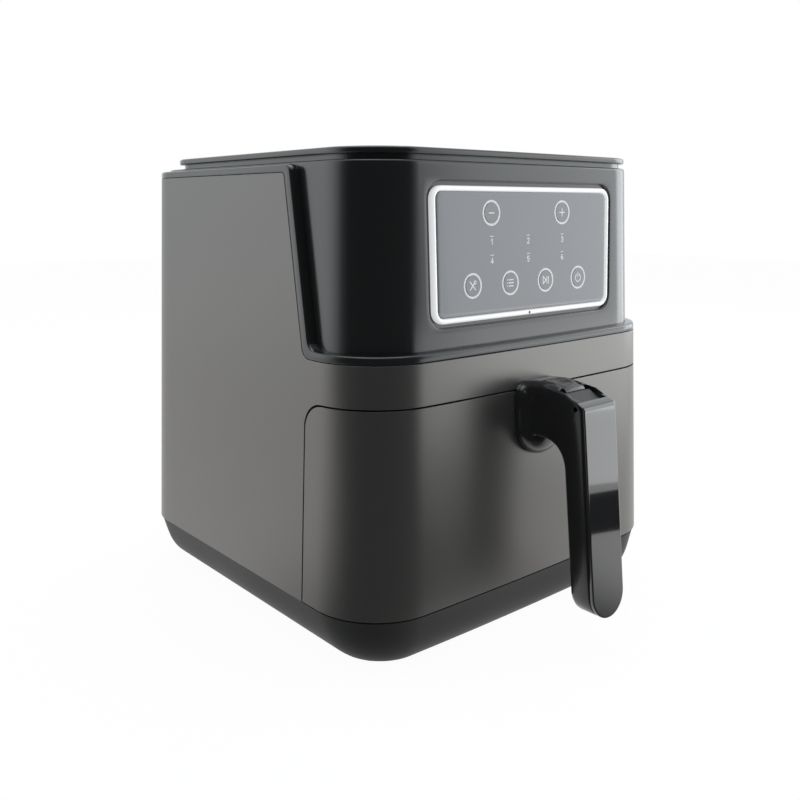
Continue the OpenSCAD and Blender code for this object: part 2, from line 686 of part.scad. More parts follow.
module cooling_fan() {
    color([0.15, 0.15, 0.16]) in_row_frame() at_fan() difference() {
        union() {
            rod(12, hood_top + 2, hood_top + 11);
            blades(9, 10, cooling_r, hood_top + 2, hood_top + 11, 35);
        }
        rod(shaft_r, hood_top, hood_top + 20);
    }
}
module fan_nut() {
    color([0.8, 0.8, 0.8]) in_row_frame() at_fan() difference() {
        union() {
            rod(7, fan_z0 - 4, fan_z0);
            rod(9, fan_z0 - 1, fan_z0);
        }
        rod(shaft_r, fan_z0 - 10, fan_z0 + 1);
    }
}
standoff_h = 5;
module power_board() {
    top = standoff_h + board_t;
    color([0.06, 0.3, 0.14]) in_row_frame() translate([motor_r + 21, pan_y - board_d / 2 + 8, deck_z + deck_t]) {
        box([0, 0, standoff_h], [board_w, board_d, top]);
        for (x = [5, board_w - 5], y = [5, board_d - 5]) translate([x, y, 0]) rod(3, 0, standoff_h);
        translate([6, 12, top]) cube([board_w * 0.43, board_d * 0.29, 17.4]);
        translate([board_w * 0.6, 12, top]) cube([board_w * 0.25, board_d * 0.19, 15.4]);
        translate([board_w * 0.75, board_d * 0.48, 0]) rod(8, top, top + 23.4);
        translate([board_w * 0.28, board_d * 0.6, 0]) rod(6, top, top + 17.4);
        translate([board_w * 0.54, board_d * 0.65, top]) cube([board_w * 0.36, board_d * 0.22, 13.4]);
    }
}
switch_x = pan_w / 2 - 40;
switch_y = backing_y + 2;
plunger_r = 1.8;
plunger_over = 1.5;
module interlock_switch() {
    color([0.1, 0.1, 0.1]) in_row_frame() translate([switch_x, switch_y, hood_z]) difference() {
        box([-10, -4, 0], [10, 4, 14]);
        rod(plunger_r + shaft_air, -1, 8);
        for (x = [-6, 6]) translate([x, 0, 9]) rod_y(1.5, -5, 5);
    }
}
module switch_plunger() {
    color([0.7, 0.1, 0.08]) in_row_frame() translate([switch_x, switch_y, 0])
        rod(plunger_r, tab_z + run, hood_z + 8 - plunger_over - run);
}

// ---------------------------------------------------------------- drawer
slot_half = root_w / 2 - 5.5;
slot_low = root_cz - 5;
tab_z = drawer_z - 0.9;
module neck_slot(y0, y1) box([-slot_half, y0, slot_low], [slot_half, y1, far]);
module drawer_front() {
    color([0.29, 0.29, 0.29]) in_row_frame() difference() {
        intersection() {
            wall(seam_h + seam_gap, drawer_z + 2, 0, drawer_wall);
            side_cut(far) polygon(drawer_view(-seam_gap));
        }
        neck_slot(-far, 0);
    }
}
module drawer_backing() {
    low = pan_z - 4;
    high = drawer_z - 3.5;
    color([0.08, 0.08, 0.08]) in_row_frame() {
        difference() {
            intersection() {
                block(seam_h, drawer_z, drawer_wall + 0.05);
                union() {
                    box([-far, backing_y, low], [far, backing_y + backing_t, high]);
                    box([-far, -far, low], [far, backing_y + 1, low + 2.5]);
                    box([-far, -far, high - 2.5], [far, backing_y + 1, high]);
                    for (x = [-pan_w * 0.3, pan_w * 0.3]) box([x - 1.5, -far, low], [x + 1.5, backing_y + 1, high]);
                }
            }
            neck_slot(-far, 0);
        }
        box([switch_x - 6, backing_y, high - 1], [switch_x + 6, backing_y + backing_t, tab_z]);
    }
}
module pan() {
    color([0.09, 0.09, 0.1]) in_row_frame() {
        difference() {
            translate([0, pan_y, 0]) union() {
                rounded_box(pan_w, pan_d, pan_r, pan_z, pan_top);
                intersection() {
                    rounded_box(pan_w + 2 * flange_w, pan_d + 2 * flange_w, pan_r + flange_w, pan_top - rim_t, pan_top);
                    box([-far, -far, 0], [far, pan_d / 2 + 5, far]);
                }
            }
            translate([0, pan_y, 0]) rounded_box(pan_w - 2 * pan_t, pan_d - 2 * pan_t, pan_r - pan_t, pan_z + pan_t, far);
        }
    }
}
strike_t = 1.4;
strike_z = lever_z - 3 - run - strike_t;       // underside of the strike bar
hook_z = strike_z - run - basket_lift;         // top of the hook
module latch_strike() {
    color([0.7, 0.7, 0.7]) in_row_frame() difference() {
        box([-slot_half - 4, -far, strike_z], [slot_half + 4, lever_y - 1.6, strike_z + strike_t]);
        difference() {
            translate([0, 0, strike_z - 1]) cube([2 * far, 2 * far, 4 * strike_t], center = true);
            block(strike_z - 9, strike_z + 9, drawer_wall);
        }
    }
}
module drawer_screws() {
    color([0.6, 0.6, 0.62]) in_row_frame()
        for (x = [23 - pan_w / 2, pan_w / 2 - 23], z = [pan_z + 20, pan_top - 24])
            translate([x, backing_y + backing_t, z]) rod_y(screw_head_r - 0.3, 0, 2);
}

// ---------------------------------------------------------------- basket
rim_over = basket_room + pan_t + 1;            // how far the basket's rim overhangs its wall
hole_n = floor((basket_w / 2 - 18) / basket_pitch);
module basket() {
    color([0.1, 0.1, 0.11]) in_row_frame() translate([0, pan_y, 0]) difference() {
        union() {
            rounded_box(basket_w, basket_d, basket_r, basket_z, rim_z + rim_t);
            rounded_box(basket_w + 2 * rim_over, basket_d + 2 * rim_over, basket_r + rim_over, rim_z, rim_z + rim_t);
        }
        box([-bracket_w / 2 - fit, -basket_d / 2 - rim_t - fit, rim_z - 1],
            [bracket_w / 2 + fit, -basket_d / 2, bracket_z + 1]);
        rounded_box(basket_w - 2 * basket_t, basket_d - 2 * basket_t, basket_r - basket_t, basket_z + basket_t, far);
        translate([0, 0, basket_z - 1]) linear_extrude(height = 4)
            for (i = [-hole_n:hole_n], j = [-hole_n:hole_n])
                if (abs(i) + abs(j) < 2 * hole_n - 1)
                    translate([i * basket_pitch, j * basket_pitch]) circle(r = basket_hole_r, $fn = 24);
    }
}
module basket_bumpers() {
    reach = basket_room - run;
    color([0.35, 0.35, 0.36]) in_row_frame() translate([0, pan_y, basket_z + 14]) for (s = [-pan_w / 4, pan_w / 4]) {
        translate([0, s, 0]) rod_x(5, basket_w / 2, basket_w / 2 + reach);
        translate([0, s, 0]) rod_x(5, -basket_w / 2 - reach, -basket_w / 2);
        translate([s, 0, 0]) rod_y(5, basket_d / 2, basket_d / 2 + reach);
        translate([s, 0, 0]) rod_y(5, -basket_d / 2 - reach, -basket_d / 2);
    }
}
leg_drop = 34;
lever_half = 3;
spring_wire_r = 0.4;
ear_x = lever_half + run + 4 * spring_wire_r + 0.2;
ear_t = 1.2;
module handle_bracket() {
    color([0.7, 0.7, 0.71]) in_row_frame() {
        box([-bracket_w / 2, root_back - 8, bracket_z], [bracket_w / 2, basket_front, bracket_z + rim_t]);
        box([-bracket_w / 2, basket_front - rim_t, bracket_z - leg_drop], [bracket_w / 2, basket_front, bracket_z]);
        mirrored() difference() {
            box([ear_x, lever_y - 3.4, lever_z - 2.6], [ear_x + ear_t, lever_y + 3.4, bracket_z]);
            translate([0, lever_y, lever_z]) rod_x(pin_r, 0, 20);
        }
    }
}
module bracket_rivets() {
    color([0.75, 0.75, 0.75]) in_row_frame()
        for (x = [-8, 8]) translate([x, 0, bracket_z - leg_drop + 9]) rod_y(2.4, basket_front + basket_t, basket_front + basket_t + 1.4);
}

// ---------------------------------------------------------------- handle
root_back = front_y(bracket_z);
half_grip = grip_w / 2;
half_root = root_w / 2;
root_out = root_back - 10;
shoulder_y = grip_y(grip_top) + 12;
under_r = 20;
function back_y(z) = grip_y(z) + grip_t;
// Side view of arm and grip, drawn as [y, z]
function handle_view(skin) = concat(
    [[root_back + 4, arm_top - 3], [root_back - 8, arm_top - 0.6], [root_back - 16, arm_top],
     [root_back - 24, arm_top - 0.6], [shoulder_y, arm_top - 4.6], [grip_y(grip_top) + 4.5, grip_top + 2.4],
     [grip_y(grip_top) + skin, grip_top + 1]],
    [[grip_y(grip_foot - 2) + skin, grip_foot - 2], [back_y(grip_foot - 2), grip_foot - 2]],
    arc([back_y(root_cz - 29) + under_r, root_cz - 29 + 1], under_r, 180, 96, 10),
    [[root_back + 4, root_cz - 6]]);
module grip_front_view() {
    translate([0, grip_foot + half_grip]) circle(r = half_grip);
    translate([-far, grip_foot + half_grip]) square([2 * far, far]);
}
module root_view() {
    translate([0, root_cz]) circle(r = half_root);
    translate([-half_root, root_cz]) square([root_w, arm_top - 12 - root_cz]);
    translate([-half_root + 10, arm_top - 13]) square([root_w - 20, 10]);
    for (x = [-1, 1]) translate([x * (half_root - 10), arm_top - 13]) circle(r = 10);
}
module arm_block(skin) {
    intersection() {
        side_cut(root_w) polygon(handle_view(skin));
        linear_extrude(height = far) polygon([
            [-half_root, root_back + 5], [-half_root, root_out], [-half_grip, shoulder_y + 3], [-half_grip, -far],
            [half_grip, -far], [half_grip, shoulder_y + 3], [half_root, root_out], [half_root, root_back + 5]]);
        front_cut(-far, 0) grip_front_view();
    }
}
well_half = 12;
well_floor = pin_z - 4.5;
guard_floor = arm_top - 3;
well_rear = shoulder_y + 9;
guard_half = well_half + 0.6;
guard_length = 17;
screw_xs = [-10.4, 10.4];
module handle_body() {
    color([0.035, 0.035, 0.035]) in_row_frame() difference() {
        union() {
            arm_block(strip_t);
            front_cut(root_out + 4, root_back + 5) root_view();
        }
        block(seam_h, body_h, -run);
        box([-well_half, well_front, well_floor], [well_half, well_rear, far]);
        box([-guard_half - run, -far, guard_floor], [guard_half + run, well_rear + guard_length + 1, far]);
        box([-lever_half - 1, well_rear - 1, well_floor], [lever_half + 1, press_y + 5, pin_z + 8]);
        box([-lever_half - 1, press_y - 5, lever_z - 6], [lever_half + 1, 0, bracket_z]);
        box([-bracket_w / 2, root_back - 8, bracket_z], [bracket_w / 2, 0, bracket_z + rim_t]);
        translate([0, pin_y, pin_z]) rod_x(pin_r, -far, far);
        for (x = screw_xs) translate([x, root_back - 5, 0]) rod(screw_r, bracket_z - 12, bracket_z + 1);
    }
}
module handle_strip() {
    top = grip_top + 2.4;
    color([0.03, 0.03, 0.03]) in_row_frame() intersection() {
        side_cut(grip_w) polygon([
            [grip_y(grip_foot - 2), grip_foot - 2], [grip_y(grip_top), grip_top],
            [grip_y(grip_top) + 1.2, grip_top + 2], [grip_y(grip_top) + 4.3, top + 0.6],
            [grip_y(grip_top) + 4.3, top], [grip_y(grip_top) + strip_t, grip_top + 1],
            [grip_y(grip_foot - 2) + strip_t, grip_foot - 2]]);
        front_cut(-far, 0) grip_front_view();
    }
}
module handle_screws() {
    color([0.6, 0.6, 0.62]) in_row_frame() for (x = screw_xs) translate([x, root_back - 5, 0])
        rod(screw_r, bracket_z - 12, bracket_z);
}
module button_pin() color([0.6, 0.6, 0.6]) in_row_frame()
    translate([0, pin_y, pin_z]) rod_x(pin_r, -half_grip, half_grip);
module latch_pin() color([0.6, 0.6, 0.6]) in_row_frame()
    translate([0, lever_y, lever_z]) rod_x(pin_r, -ear_x - ear_t - 0.8, ear_x + ear_t + 0.8);
module latch_spring() {
    color([0.75, 0.75, 0.76]) in_row_frame() translate([0, lever_y, lever_z]) for (s = [-1, 1], k = [0:1])
        translate([s * (lever_half + run + spring_wire_r * (1 + 1.7 * k)), 0, 0])
            rotate([0, 90, 0]) torus(pin_r + spring_wire_r, spring_wire_r);
}
// Rocker over the well, pivoted at its front; its tail reaches under the guard
module release_button() {
    color([0.05, 0.05, 0.05]) in_row_frame() difference() {
        union() {
            side_cut(2 * well_half - 0.8) {
                polygon([[pin_y - 0.2, pin_z + 2.6], [pin_y + 3, pin_z + 3.2], [well_rear - 3, pin_z + 7.4],
                    [well_rear - 1.2, pin_z + 6.6], [well_rear - 1.2, pin_z + 4.4], [pin_y + 2, pin_z - 1.6]]);
                translate([pin_y, pin_z]) circle(r = button_hub_r);
            }
            side_cut(2 * lever_half) polygon([[well_rear - 5, pin_z + 3], [well_rear - 5, pin_z + 6],
                [press_y + 3, pin_z + 5.4], [press_y + 3, pin_z + 2.6]]);
        }
        translate([0, pin_y, pin_z]) rod_x(pin_r + shaft_air, -20, 20);
    }
}
module button_guard() {
    rear = well_rear + guard_length;
    color([0.06, 0.06, 0.065]) in_row_frame() difference() {
        side_cut(2 * guard_half) polygon([[well_rear - 0.4, guard_floor + 0.3], [well_rear - 0.4, guard_floor + 1.6],
            [well_rear + 1, guard_floor + 3.2], [rear - 2, guard_floor + 3.6], [rear, guard_floor + 2.4],
            [rear, guard_floor + 0.3]]);
        box([-9, well_rear + 4, guard_floor + 1.8], [9, rear - 4, far]);
    }
}
// Bell crank: its front arm is pushed down by the button, its hook swings back from the strike
module latch_lever() {
    color([0.7, 0.7, 0.71]) in_row_frame() difference() {
        side_cut(2 * lever_half) {
            translate([lever_y, lever_z]) circle(r = 3);
            polygon([[lever_y, lever_z - 1.4], [lever_y - 1, lever_z + 2.6], [press_y + 1.5, lever_z + 2.6],
                [press_y + 1.5, pin_z + 2.2], [press_y - 1.5, pin_z + 2.2], [press_y - 1.5, lever_z - 0.4]]);
            polygon([[lever_y + 1.3, lever_z], [lever_y - 1.2, lever_z], [lever_y - 1.2, hook_z],
                [lever_y - 2.8, hook_z], [lever_y - 2.2, hook_z - 1.6], [lever_y + 1.3, hook_z - 1.6]]);
        }
        translate([0, lever_y, lever_z]) rod_x(pin_r + shaft_air, -20, 20);
    }
}

base_tray();
rubber_feet();
base_screws();
cord_gland();
outer_shell();
trim_frame();
control_head();
top_cover();
vent_grille();
panel_ring();
touch_glass();
display_board();
bay_liner();
bay_frame();
bay_ceiling();
left_rail();
right_rail();
exhaust_duct();
heater_hood();
heating_element();
element_bushes();
element_clips();
element_guard();
fan_shroud();
equipment_deck();
motor_bracket();
motor_body();
power_board();
temperature_sensor();
thermal_cutoff();
interlock_switch();
switch_plunger();
fan_shaft();
circulation_fan();
cooling_fan();
fan_nut();
drawer_front();
drawer_backing();
pan();
latch_strike();
drawer_screws();
basket();
basket_bumpers();
handle_bracket();
bracket_rivets();
handle_body();
handle_strip();
handle_screws();
button_pin();
latch_pin();
latch_spring();
release_button();
button_guard();
latch_lever();
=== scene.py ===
"""Drawer air fryer: the looks of the housing, control head, drawer, basket and handle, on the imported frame."""
import json
import math

import bmesh
import bpy
import numpy as np
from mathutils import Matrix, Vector


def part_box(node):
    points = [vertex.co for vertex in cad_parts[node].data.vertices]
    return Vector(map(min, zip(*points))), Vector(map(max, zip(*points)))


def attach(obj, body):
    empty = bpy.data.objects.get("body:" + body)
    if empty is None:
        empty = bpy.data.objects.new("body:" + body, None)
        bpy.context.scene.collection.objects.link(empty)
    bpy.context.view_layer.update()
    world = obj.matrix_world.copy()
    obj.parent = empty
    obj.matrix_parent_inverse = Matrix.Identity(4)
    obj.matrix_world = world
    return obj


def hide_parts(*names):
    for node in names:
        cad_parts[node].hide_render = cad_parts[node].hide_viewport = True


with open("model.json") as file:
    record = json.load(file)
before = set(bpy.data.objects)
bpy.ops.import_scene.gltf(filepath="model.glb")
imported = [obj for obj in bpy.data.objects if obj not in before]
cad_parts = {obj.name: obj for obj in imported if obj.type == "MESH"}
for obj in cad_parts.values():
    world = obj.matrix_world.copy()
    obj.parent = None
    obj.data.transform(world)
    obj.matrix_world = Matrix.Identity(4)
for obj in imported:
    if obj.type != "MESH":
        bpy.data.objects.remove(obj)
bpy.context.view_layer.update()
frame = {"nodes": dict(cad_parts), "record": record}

bl_info = {
    "name": "Drawer Air Fryer",
    "version": (1, 0, 0),
    "blender": (4, 5, 0),
    "location": "View3D > Sidebar > Air Fryer",
    "description": "Builds the visible pieces of a drawer air fryer on its fixed frame",
    "category": "Object",
}

MM = 0.001


def node_box(node):
    """Lowest and highest corner of a frame node, in millimetres of the row frame."""
    return np.array(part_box(node)) / MM


BODY_D = 291.0
SHELL_LOW, SHELL_HIGH = node_box("outer_shell")
SHIFT = SHELL_HIGH[1] - BODY_D / 2       # from the housing's middle to the middle of the whole outline
TOP = node_box("top_cover")[1][2]


# ------------------------------------------------------------------ sizes and colours
def length(name, what, metres, precision=4):
    return bpy.props.FloatProperty(name=name, description=what, default=metres, unit="LENGTH", precision=precision)


def angle(name, what, degrees):
    return bpy.props.FloatProperty(name=name, description=what, default=math.radians(degrees), subtype="ANGLE")


def power(name, what, watts):
    return bpy.props.FloatProperty(name=name, description=what, default=watts, unit="POWER")


def colour(name, what, value):
    return bpy.props.FloatVectorProperty(name=name, description=what, default=value, size=3,
        subtype="COLOR", min=0.0, max=1.0)


class HousingSizes(bpy.types.PropertyGroup):
    width: length("Width", "Width at the seam over the base", (SHELL_HIGH[0] - SHELL_LOW[0]) * MM)
    depth: length("Depth", "Depth at the seam over the base", BODY_D * MM)
    lean: angle("Lean", "Inward lean of every side", 2.75)
    front_radius: length("Front corners", "Radius of the front corners", 0.046)
    rear_radius: length("Rear corners", "Radius of the rear corners", 0.040)
    crown: length("Crown", "How far the front bows out", 0.0036)
    wall: length("Wall", "Wall of the shell", 0.0025)
    face_wall: length("Drawer wall", "Wall of the drawer front", 0.003)
    seam_round: length("Seam edge", "Rounding of an edge along a seam", 0.0007)
    head_inset: length("Head inset", "How far the head stands inside the shell", 0.0061)


class PanelSizes(bpy.types.PropertyGroup):
    ring_width: length("Ring", "Width of the bright ring's tube", 0.003)
    groove: length("Groove", "Open line round the ring", 0.0025)
    button_size: length("Touch mark", "Diameter of a touch mark's ring", 0.0154)
    line: length("Print line", "Width of a printed line", 0.0008)
    print_height: length("Print height", "Thickness of the printed marks", 0.00012, 5)


class HandleSizes(bpy.types.PropertyGroup):
    width: length("Grip width", "Width of the grip", 0.0308)
    thickness: length("Grip thickness", "Thickness of the grip with its strip", 0.0193)
    strip: length("Strip", "Thickness of the glossy strip", 0.0026)
    lean: angle("Lean", "Outward lean of the grip", 6.65)
    front_round: length("Front edge", "Rounding of the grip's front edges", 0.0016)
    back_round: length("Back edge", "Rounding of the grip's back edges", 0.0042)


class FinishColours(bpy.types.PropertyGroup):
    paint: colour("Shell paint", "Warm dark grey of the shell and drawer", (0.196, 0.190, 0.181))
    gloss: colour("Gloss black", "Head, trim and handle", (0.023, 0.023, 0.024))
    matte: colour("Matte black", "Base and inner mouldings", (0.021, 0.021, 0.0215))
    glass: colour("Glass", "Smoked touch glass", (0.178, 0.186, 0.204))
    ring: colour("Ring", "Bright rim round the glass", (0.86, 0.86, 0.87))
    print_white: colour("Print", "Printed marks on the glass", (0.80, 0.81, 0.83))
    coating: colour("Coating", "Non-stick coating of pan and basket", (0.040, 0.040, 0.042))
    floor: colour("Floor", "Studio floor", (0.62, 0.62, 0.62))


class StudioSettings(bpy.types.PropertyGroup):
    side_light: power("Left rear light", "Power of the soft light on the left", 2.2)
    front_light: power("Right front light", "Power of the soft light on the right front", 6.0)
    edge_light: power("Right light", "Power of the soft light on the right", 6.8)
    low_light: power("Low light", "Power of the small light beside the handle", 0.30)
    top_light: power("Top light", "Power of the soft light above", 9.0)
    room_light: bpy.props.FloatProperty(name="Room light", description="Strength of the even light of the room",
        default=0.30)
    lens: bpy.props.FloatProperty(name="Lens", description="Focal length of the camera", default=38.79, unit="CAMERA")


# ------------------------------------------------------------------ levels of the housing, in millimetres
FOOT_H, SEAM_Z, BASE_LIP = 4.0, 36.0, 35.5
DRAWER_Z, TRIM_Z, HEAD_Z = 163.5, 189.0, 194.3
SHELL_TOP, TRIM_TOP, HEAD_TOP = 296.7, 301.4, 303.0
DRAWER_EDGE = -BODY_D / 2 + 62           # rear edge of the drawer front's sides
DRAWER_R = 16.0                          # radius of the drawer front's upper corners
SEAM_FOOT = -80.15                       # where the slanted seam meets the trim line
SLANT = 12.0                             # degrees that the seam slants back
PANEL_W, PANEL_H, PANEL_R, PANEL_Z = 165.2, 80.0, 8.0, 249.1
SEAM_GAP = 0.1                           # open line between the trim strip and the shell
HALF_GAP = 0.5                           # half of the open line round the drawer front
SPLIT_Z = 151.0                          # level of the shell that its lower part behind the drawer joins
FACE_Y = 100.0                           # a point further out than this lies on the front or the rear face
PANEL_SUNK = 0.9                         # how far the panel stands behind the head's face
OPENING_FLOOR, EDGE_ROLL = 2.6, 1.3      # depth of the opening behind the panel's front, and its rolled edge


def housing():
    """The housing's sizes, as set in the sidebar."""
    return bpy.context.scene.fryer_housing


def drawn_in(size, z):
    """A size at the seam over the base, less the lean of both sides up to z."""
    return size / MM - 2 * math.tan(housing().lean) * (z - SEAM_Z)


def width_at(z):
    """Whole width of the outline at a level."""
    return drawn_in(housing().width, z)


def depth_at(z):
    """Whole depth of the outline at a level, without the front's bow."""
    return drawn_in(housing().depth, z)


def front_y(z):
    """Depth of the bowed front's middle."""
    return -depth_at(z) / 2 - housing().crown / MM


def rear_y(z):
    """Depth of the rear face."""
    return depth_at(z) / 2


FRONT, FRONT_CORNER, SIDE, REAR_CORNER, REAR = range(5)
CORNER_FINE = np.linspace(-90, 0, 17)
REAR_FINE = np.linspace(0, 90, 13)


def on_housing(kind, value, z, inset, rear_in=0.0):
    """A point of the housing's outline at level z, drawn in by inset. Along the front and rear the value is x, along
    a side it is y, and in a corner it is the angle; the corner radius shrinks with the level and the inset, and
    everything ahead of the middle bows forward by crown * (1 - (x / half width) squared)."""
    h = housing()
    kind, value, z, inset = np.broadcast_arrays(kind, *(np.asarray(v, float) for v in (value, z, inset)))
    full = width_at(z)
    w = full / 2 - inset
    y0, y1 = -depth_at(z) / 2 + inset, depth_at(z) / 2 - inset - rear_in
    scale = full / (h.width / MM)
    rf, rr = (r / MM * scale - inset for r in (h.front_radius, h.rear_radius))
    a = np.radians(value)
    stretches = [kind == k for k in (FRONT, FRONT_CORNER, SIDE, REAR_CORNER, REAR)]
    x = np.select(stretches, [value, w - rf + rf * np.cos(a), w, w - rr + rr * np.cos(a), value])
    y = np.select(stretches, [y0, y0 + rf + rf * np.sin(a), value, y1 - rr + rr * np.sin(a), y1])
    bow = h.crown / MM * np.clip(1 - (x / (full / 2)) ** 2, 0, None)
    return x, y - np.where(y < 0, bow, 0.0)


def columns(*stretches):
    """The right half of the outline's columns as (kind, value): front, front corner, side, rear corner and rear."""
    kinds = np.repeat(np.arange(len(stretches)), [len(s) for s in stretches])
    return kinds, np.concatenate([np.asarray(s, float) for s in stretches])


def both_halves(x, y, z):
    """Right-half columns (rows x columns) closed to a full loop by their mirror image."""
    return np.concatenate([np.stack([x, y, z], -1), np.stack([-x, y, z], -1)[:, -2:0:-1]], 1)


def open_halves(x, y, z):
    """Right-half columns joined with their mirror image, open at the rear."""
    return np.concatenate([np.stack([-x, y, z], -1)[:, ::-1], np.stack([x, y, z], -1)[:, 1:]], 1)


def rings_on_housing(kind, value, levels, rear_in=0.0):
    """Closed rings round the housing from rows of (level, inset)."""
    z, inset = np.array(levels).T
    x, y = on_housing(kind[None], value[None], z[:, None], inset[:, None], rear_in)
    return both_halves(x, y, np.broadcast_to(z[:, None], x.shape))


# ------------------------------------------------------------------ meshes
def quads(rows, cols, closed=False):
    """Quads over a grid of rows x cols points; closed joins the last column to the first."""
    r = np.arange(rows - 1)[:, None] * cols
    c = np.arange(cols if closed else cols - 1)[None, :]
    d = (c + 1) % cols
    return np.stack([r + c, r + d, r + cols + d, r + cols + c], -1).reshape(-1, 4)


class Shape:
    """Points and faces gathered for one mesh."""

    def __init__(self):
        self.points, self.faces, self.count = [], [], 0

    def take(self, points, faces, flip=False):
        """Adds points, and faces that count those points from 0; flip turns the faces round."""
        points = np.asarray(points, float).reshape(-1, 3)
        self.points.append(points)
        self.faces += (np.asarray(faces)[:, ::-1 if flip else 1] + self.count).tolist()
        self.count += len(points)
        return self

    def grid(self, points, closed=False, flip=False, keep=None):
        """Quads over rows x cols points; keep picks them by their centres."""
        faces = quads(*points.shape[:2], closed)
        if keep is not None:
            faces = faces[keep(points.reshape(-1, 3)[faces].mean(1))]
        return self.take(points, faces, flip)

    def copies(self, points, closed=False, flip=False):
        """The same rows x cols grid many times over; points is copies x rows x cols x 3."""
        n, rows, cols = points.shape[:3]
        starts = (np.arange(n) * rows * cols)[:, None, None]
        return self.take(points, (quads(rows, cols, closed) + starts).reshape(-1, 4), flip)

    def fan(self, ring, centre, flip=False):
        """Triangles from a closed ring to a point."""
        i = np.arange(len(ring))
        return self.take(np.vstack([ring, centre]), np.stack([i, np.roll(i, -1), np.full_like(i, len(i))], -1), flip)

    def cap(self, ring, flip=False):
        """One flat face over a ring."""
        return self.take(ring, [range(len(ring))], flip)

    def solid(self, rings, flip=False):
        """A skin over closed rings, with one flat face over the first and one over the last."""
        rings = np.asarray(rings, float)
        return self.grid(rings, closed=True, flip=flip).cap(rings[0], not flip).cap(rings[-1], flip)

    def add(self, other):
        """Takes in the points and faces of another shape."""
        self.points += other.points
        self.faces += [[i + self.count for i in face] for face in other.faces]
        self.count += other.count
        return self


def merge(mesh, near, short):
    """Joins points nearer than near and drops edges shorter than short, in metres."""
    work = bmesh.new()
    work.from_mesh(mesh)
    bmesh.ops.remove_doubles(work, verts=work.verts, dist=near)
    bmesh.ops.dissolve_degenerate(work, edges=work.edges, dist=short)
    work.to_mesh(mesh)
    work.free()


def smooth(mesh, sharp):
    """Smooth shading, but for edges sharper than an angle in degrees."""
    mesh.shade_smooth()
    mesh.set_sharp_from_angle(angle=math.radians(sharp))


def build(name, shape, body, finish_name, stands_for=(), sharp=40.0, place=True):
    """A mesh object from a shape in millimetres round the housing's middle, moved to the row frame unless its
    points are in the row frame already."""
    points = np.concatenate(shape.points) * MM
    if place:
        points[:, 1] += SHIFT * MM
    mesh = bpy.data.meshes.new(name)
    mesh.from_pydata(points.tolist(), [], shape.faces)
    merge(mesh, 3e-6, 1e-6)
    smooth(mesh, sharp)
    piece = bpy.data.objects.new(name, mesh)
    bpy.context.scene.collection.objects.link(piece)
    if finish_name:
        mesh.materials.append(FINISHES[finish_name])
    if body:
        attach(piece, body)
    if stands_for:
        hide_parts(*stands_for)
    return piece


def modify(piece, name, kind, **settings):
    """A modifier on a piece, with its settings by name."""
    m = piece.modifiers.new(name, kind)
    for key, value in settings.items():
        setattr(m, key, value)


def wall(piece, thickness):
    """Gives a skin a wall, inwards from its outer face."""
    modify(piece, "wall", "SOLIDIFY", thickness=thickness, offset=-1, use_even_offset=True, use_rim=True)


def round_edges(piece, width, segments=3, angle=38.0):
    """Rounds the edges that turn by more than an angle in degrees."""
    modify(piece, "round", "BEVEL", width=width, segments=segments, limit_method="ANGLE",
        angle_limit=math.radians(angle), harden_normals=True, use_clamp_overlap=True)


def carve(piece, cutters, operation="DIFFERENCE"):
    """Cuts shapes out of a piece, or joins them to it, and tidies the result."""
    for cutter in cutters:
        tool = build("cutter", cutter, None, None)
        modify(piece, "cut", "BOOLEAN", operation=operation, solver="EXACT", object=tool)
        bpy.context.view_layer.update()
        graph = bpy.context.evaluated_depsgraph_get()
        mesh = bpy.data.meshes.new_from_object(piece.evaluated_get(graph))
        piece.modifiers.clear()
        piece.data = mesh
        bpy.data.objects.remove(tool)
    merge(piece.data, 4e-6, 2e-6)


def block(low, high):
    """A plain box as a cutter or a bar."""
    (x0, y0, z0), (x1, y1, z1) = low, high
    ring = np.array([[x0, y0], [x1, y0], [x1, y1], [x0, y1]])
    return Shape().solid([np.column_stack([ring, np.full(4, z)]) for z in (z0, z1)])


def side_prism(outline, half):
    """A side view in (y, z), going round with the front on its left, given a width from -half to half along x."""
    o = np.asarray(outline, float)
    if np.sum(o[:, 0] * np.roll(o[:, 1], -1) - np.roll(o[:, 0], -1) * o[:, 1]) < 0:
        o = o[::-1]
    right = np.column_stack([np.full(len(o), half), o])
    return Shape().solid([right, right * [-1, 1, 1]], flip=True)


def arc_points(cx, cy, r, a0, a1, n):
    """n points of a circle's arc between two angles in degrees."""
    a = np.radians(np.linspace(a0, a1, n))
    return np.column_stack([cx + r * np.cos(a), cy + r * np.sin(a)])


def rounded_loop(w, h, r, n=6):
    """A rounded rectangle as a closed ring of (a, b), anticlockwise from the lower right corner."""
    x, y = w / 2 - r, h / 2 - r
    return np.vstack([arc_points(cx, cy, r, a, a + 90, n)
        for cx, cy, a in ((x, -y, -90), (x, y, 0), (-x, y, 90), (-x, -y, 180))])


# ------------------------------------------------------------------ finishes
GROUPS, FINISHES = {}, {}
WHITE = (1, 1, 1, 1)


def feed(tree, node, inputs):
    """Fills a node's inputs, by name or place: a socket is linked to it, and anything else is set on it."""
    for key, value in inputs.items():
        if isinstance(value, bpy.types.NodeSocket):
            tree.links.new(value, node.inputs[key])
        else:
            node.inputs[key].default_value = value


def add_node(tree, kind, inputs=None, **settings):
    """A new shader node with its settings and inputs."""
    node = tree.nodes.new("ShaderNode" + kind)
    for key, value in settings.items():
        setattr(node, key, value)
    feed(tree, node, inputs or {})
    return node


def maths(tree, operation, *values):
    """Output of a Math node over numbers and sockets."""
    return add_node(tree, "Math", dict(enumerate(values)), operation=operation).outputs[0]


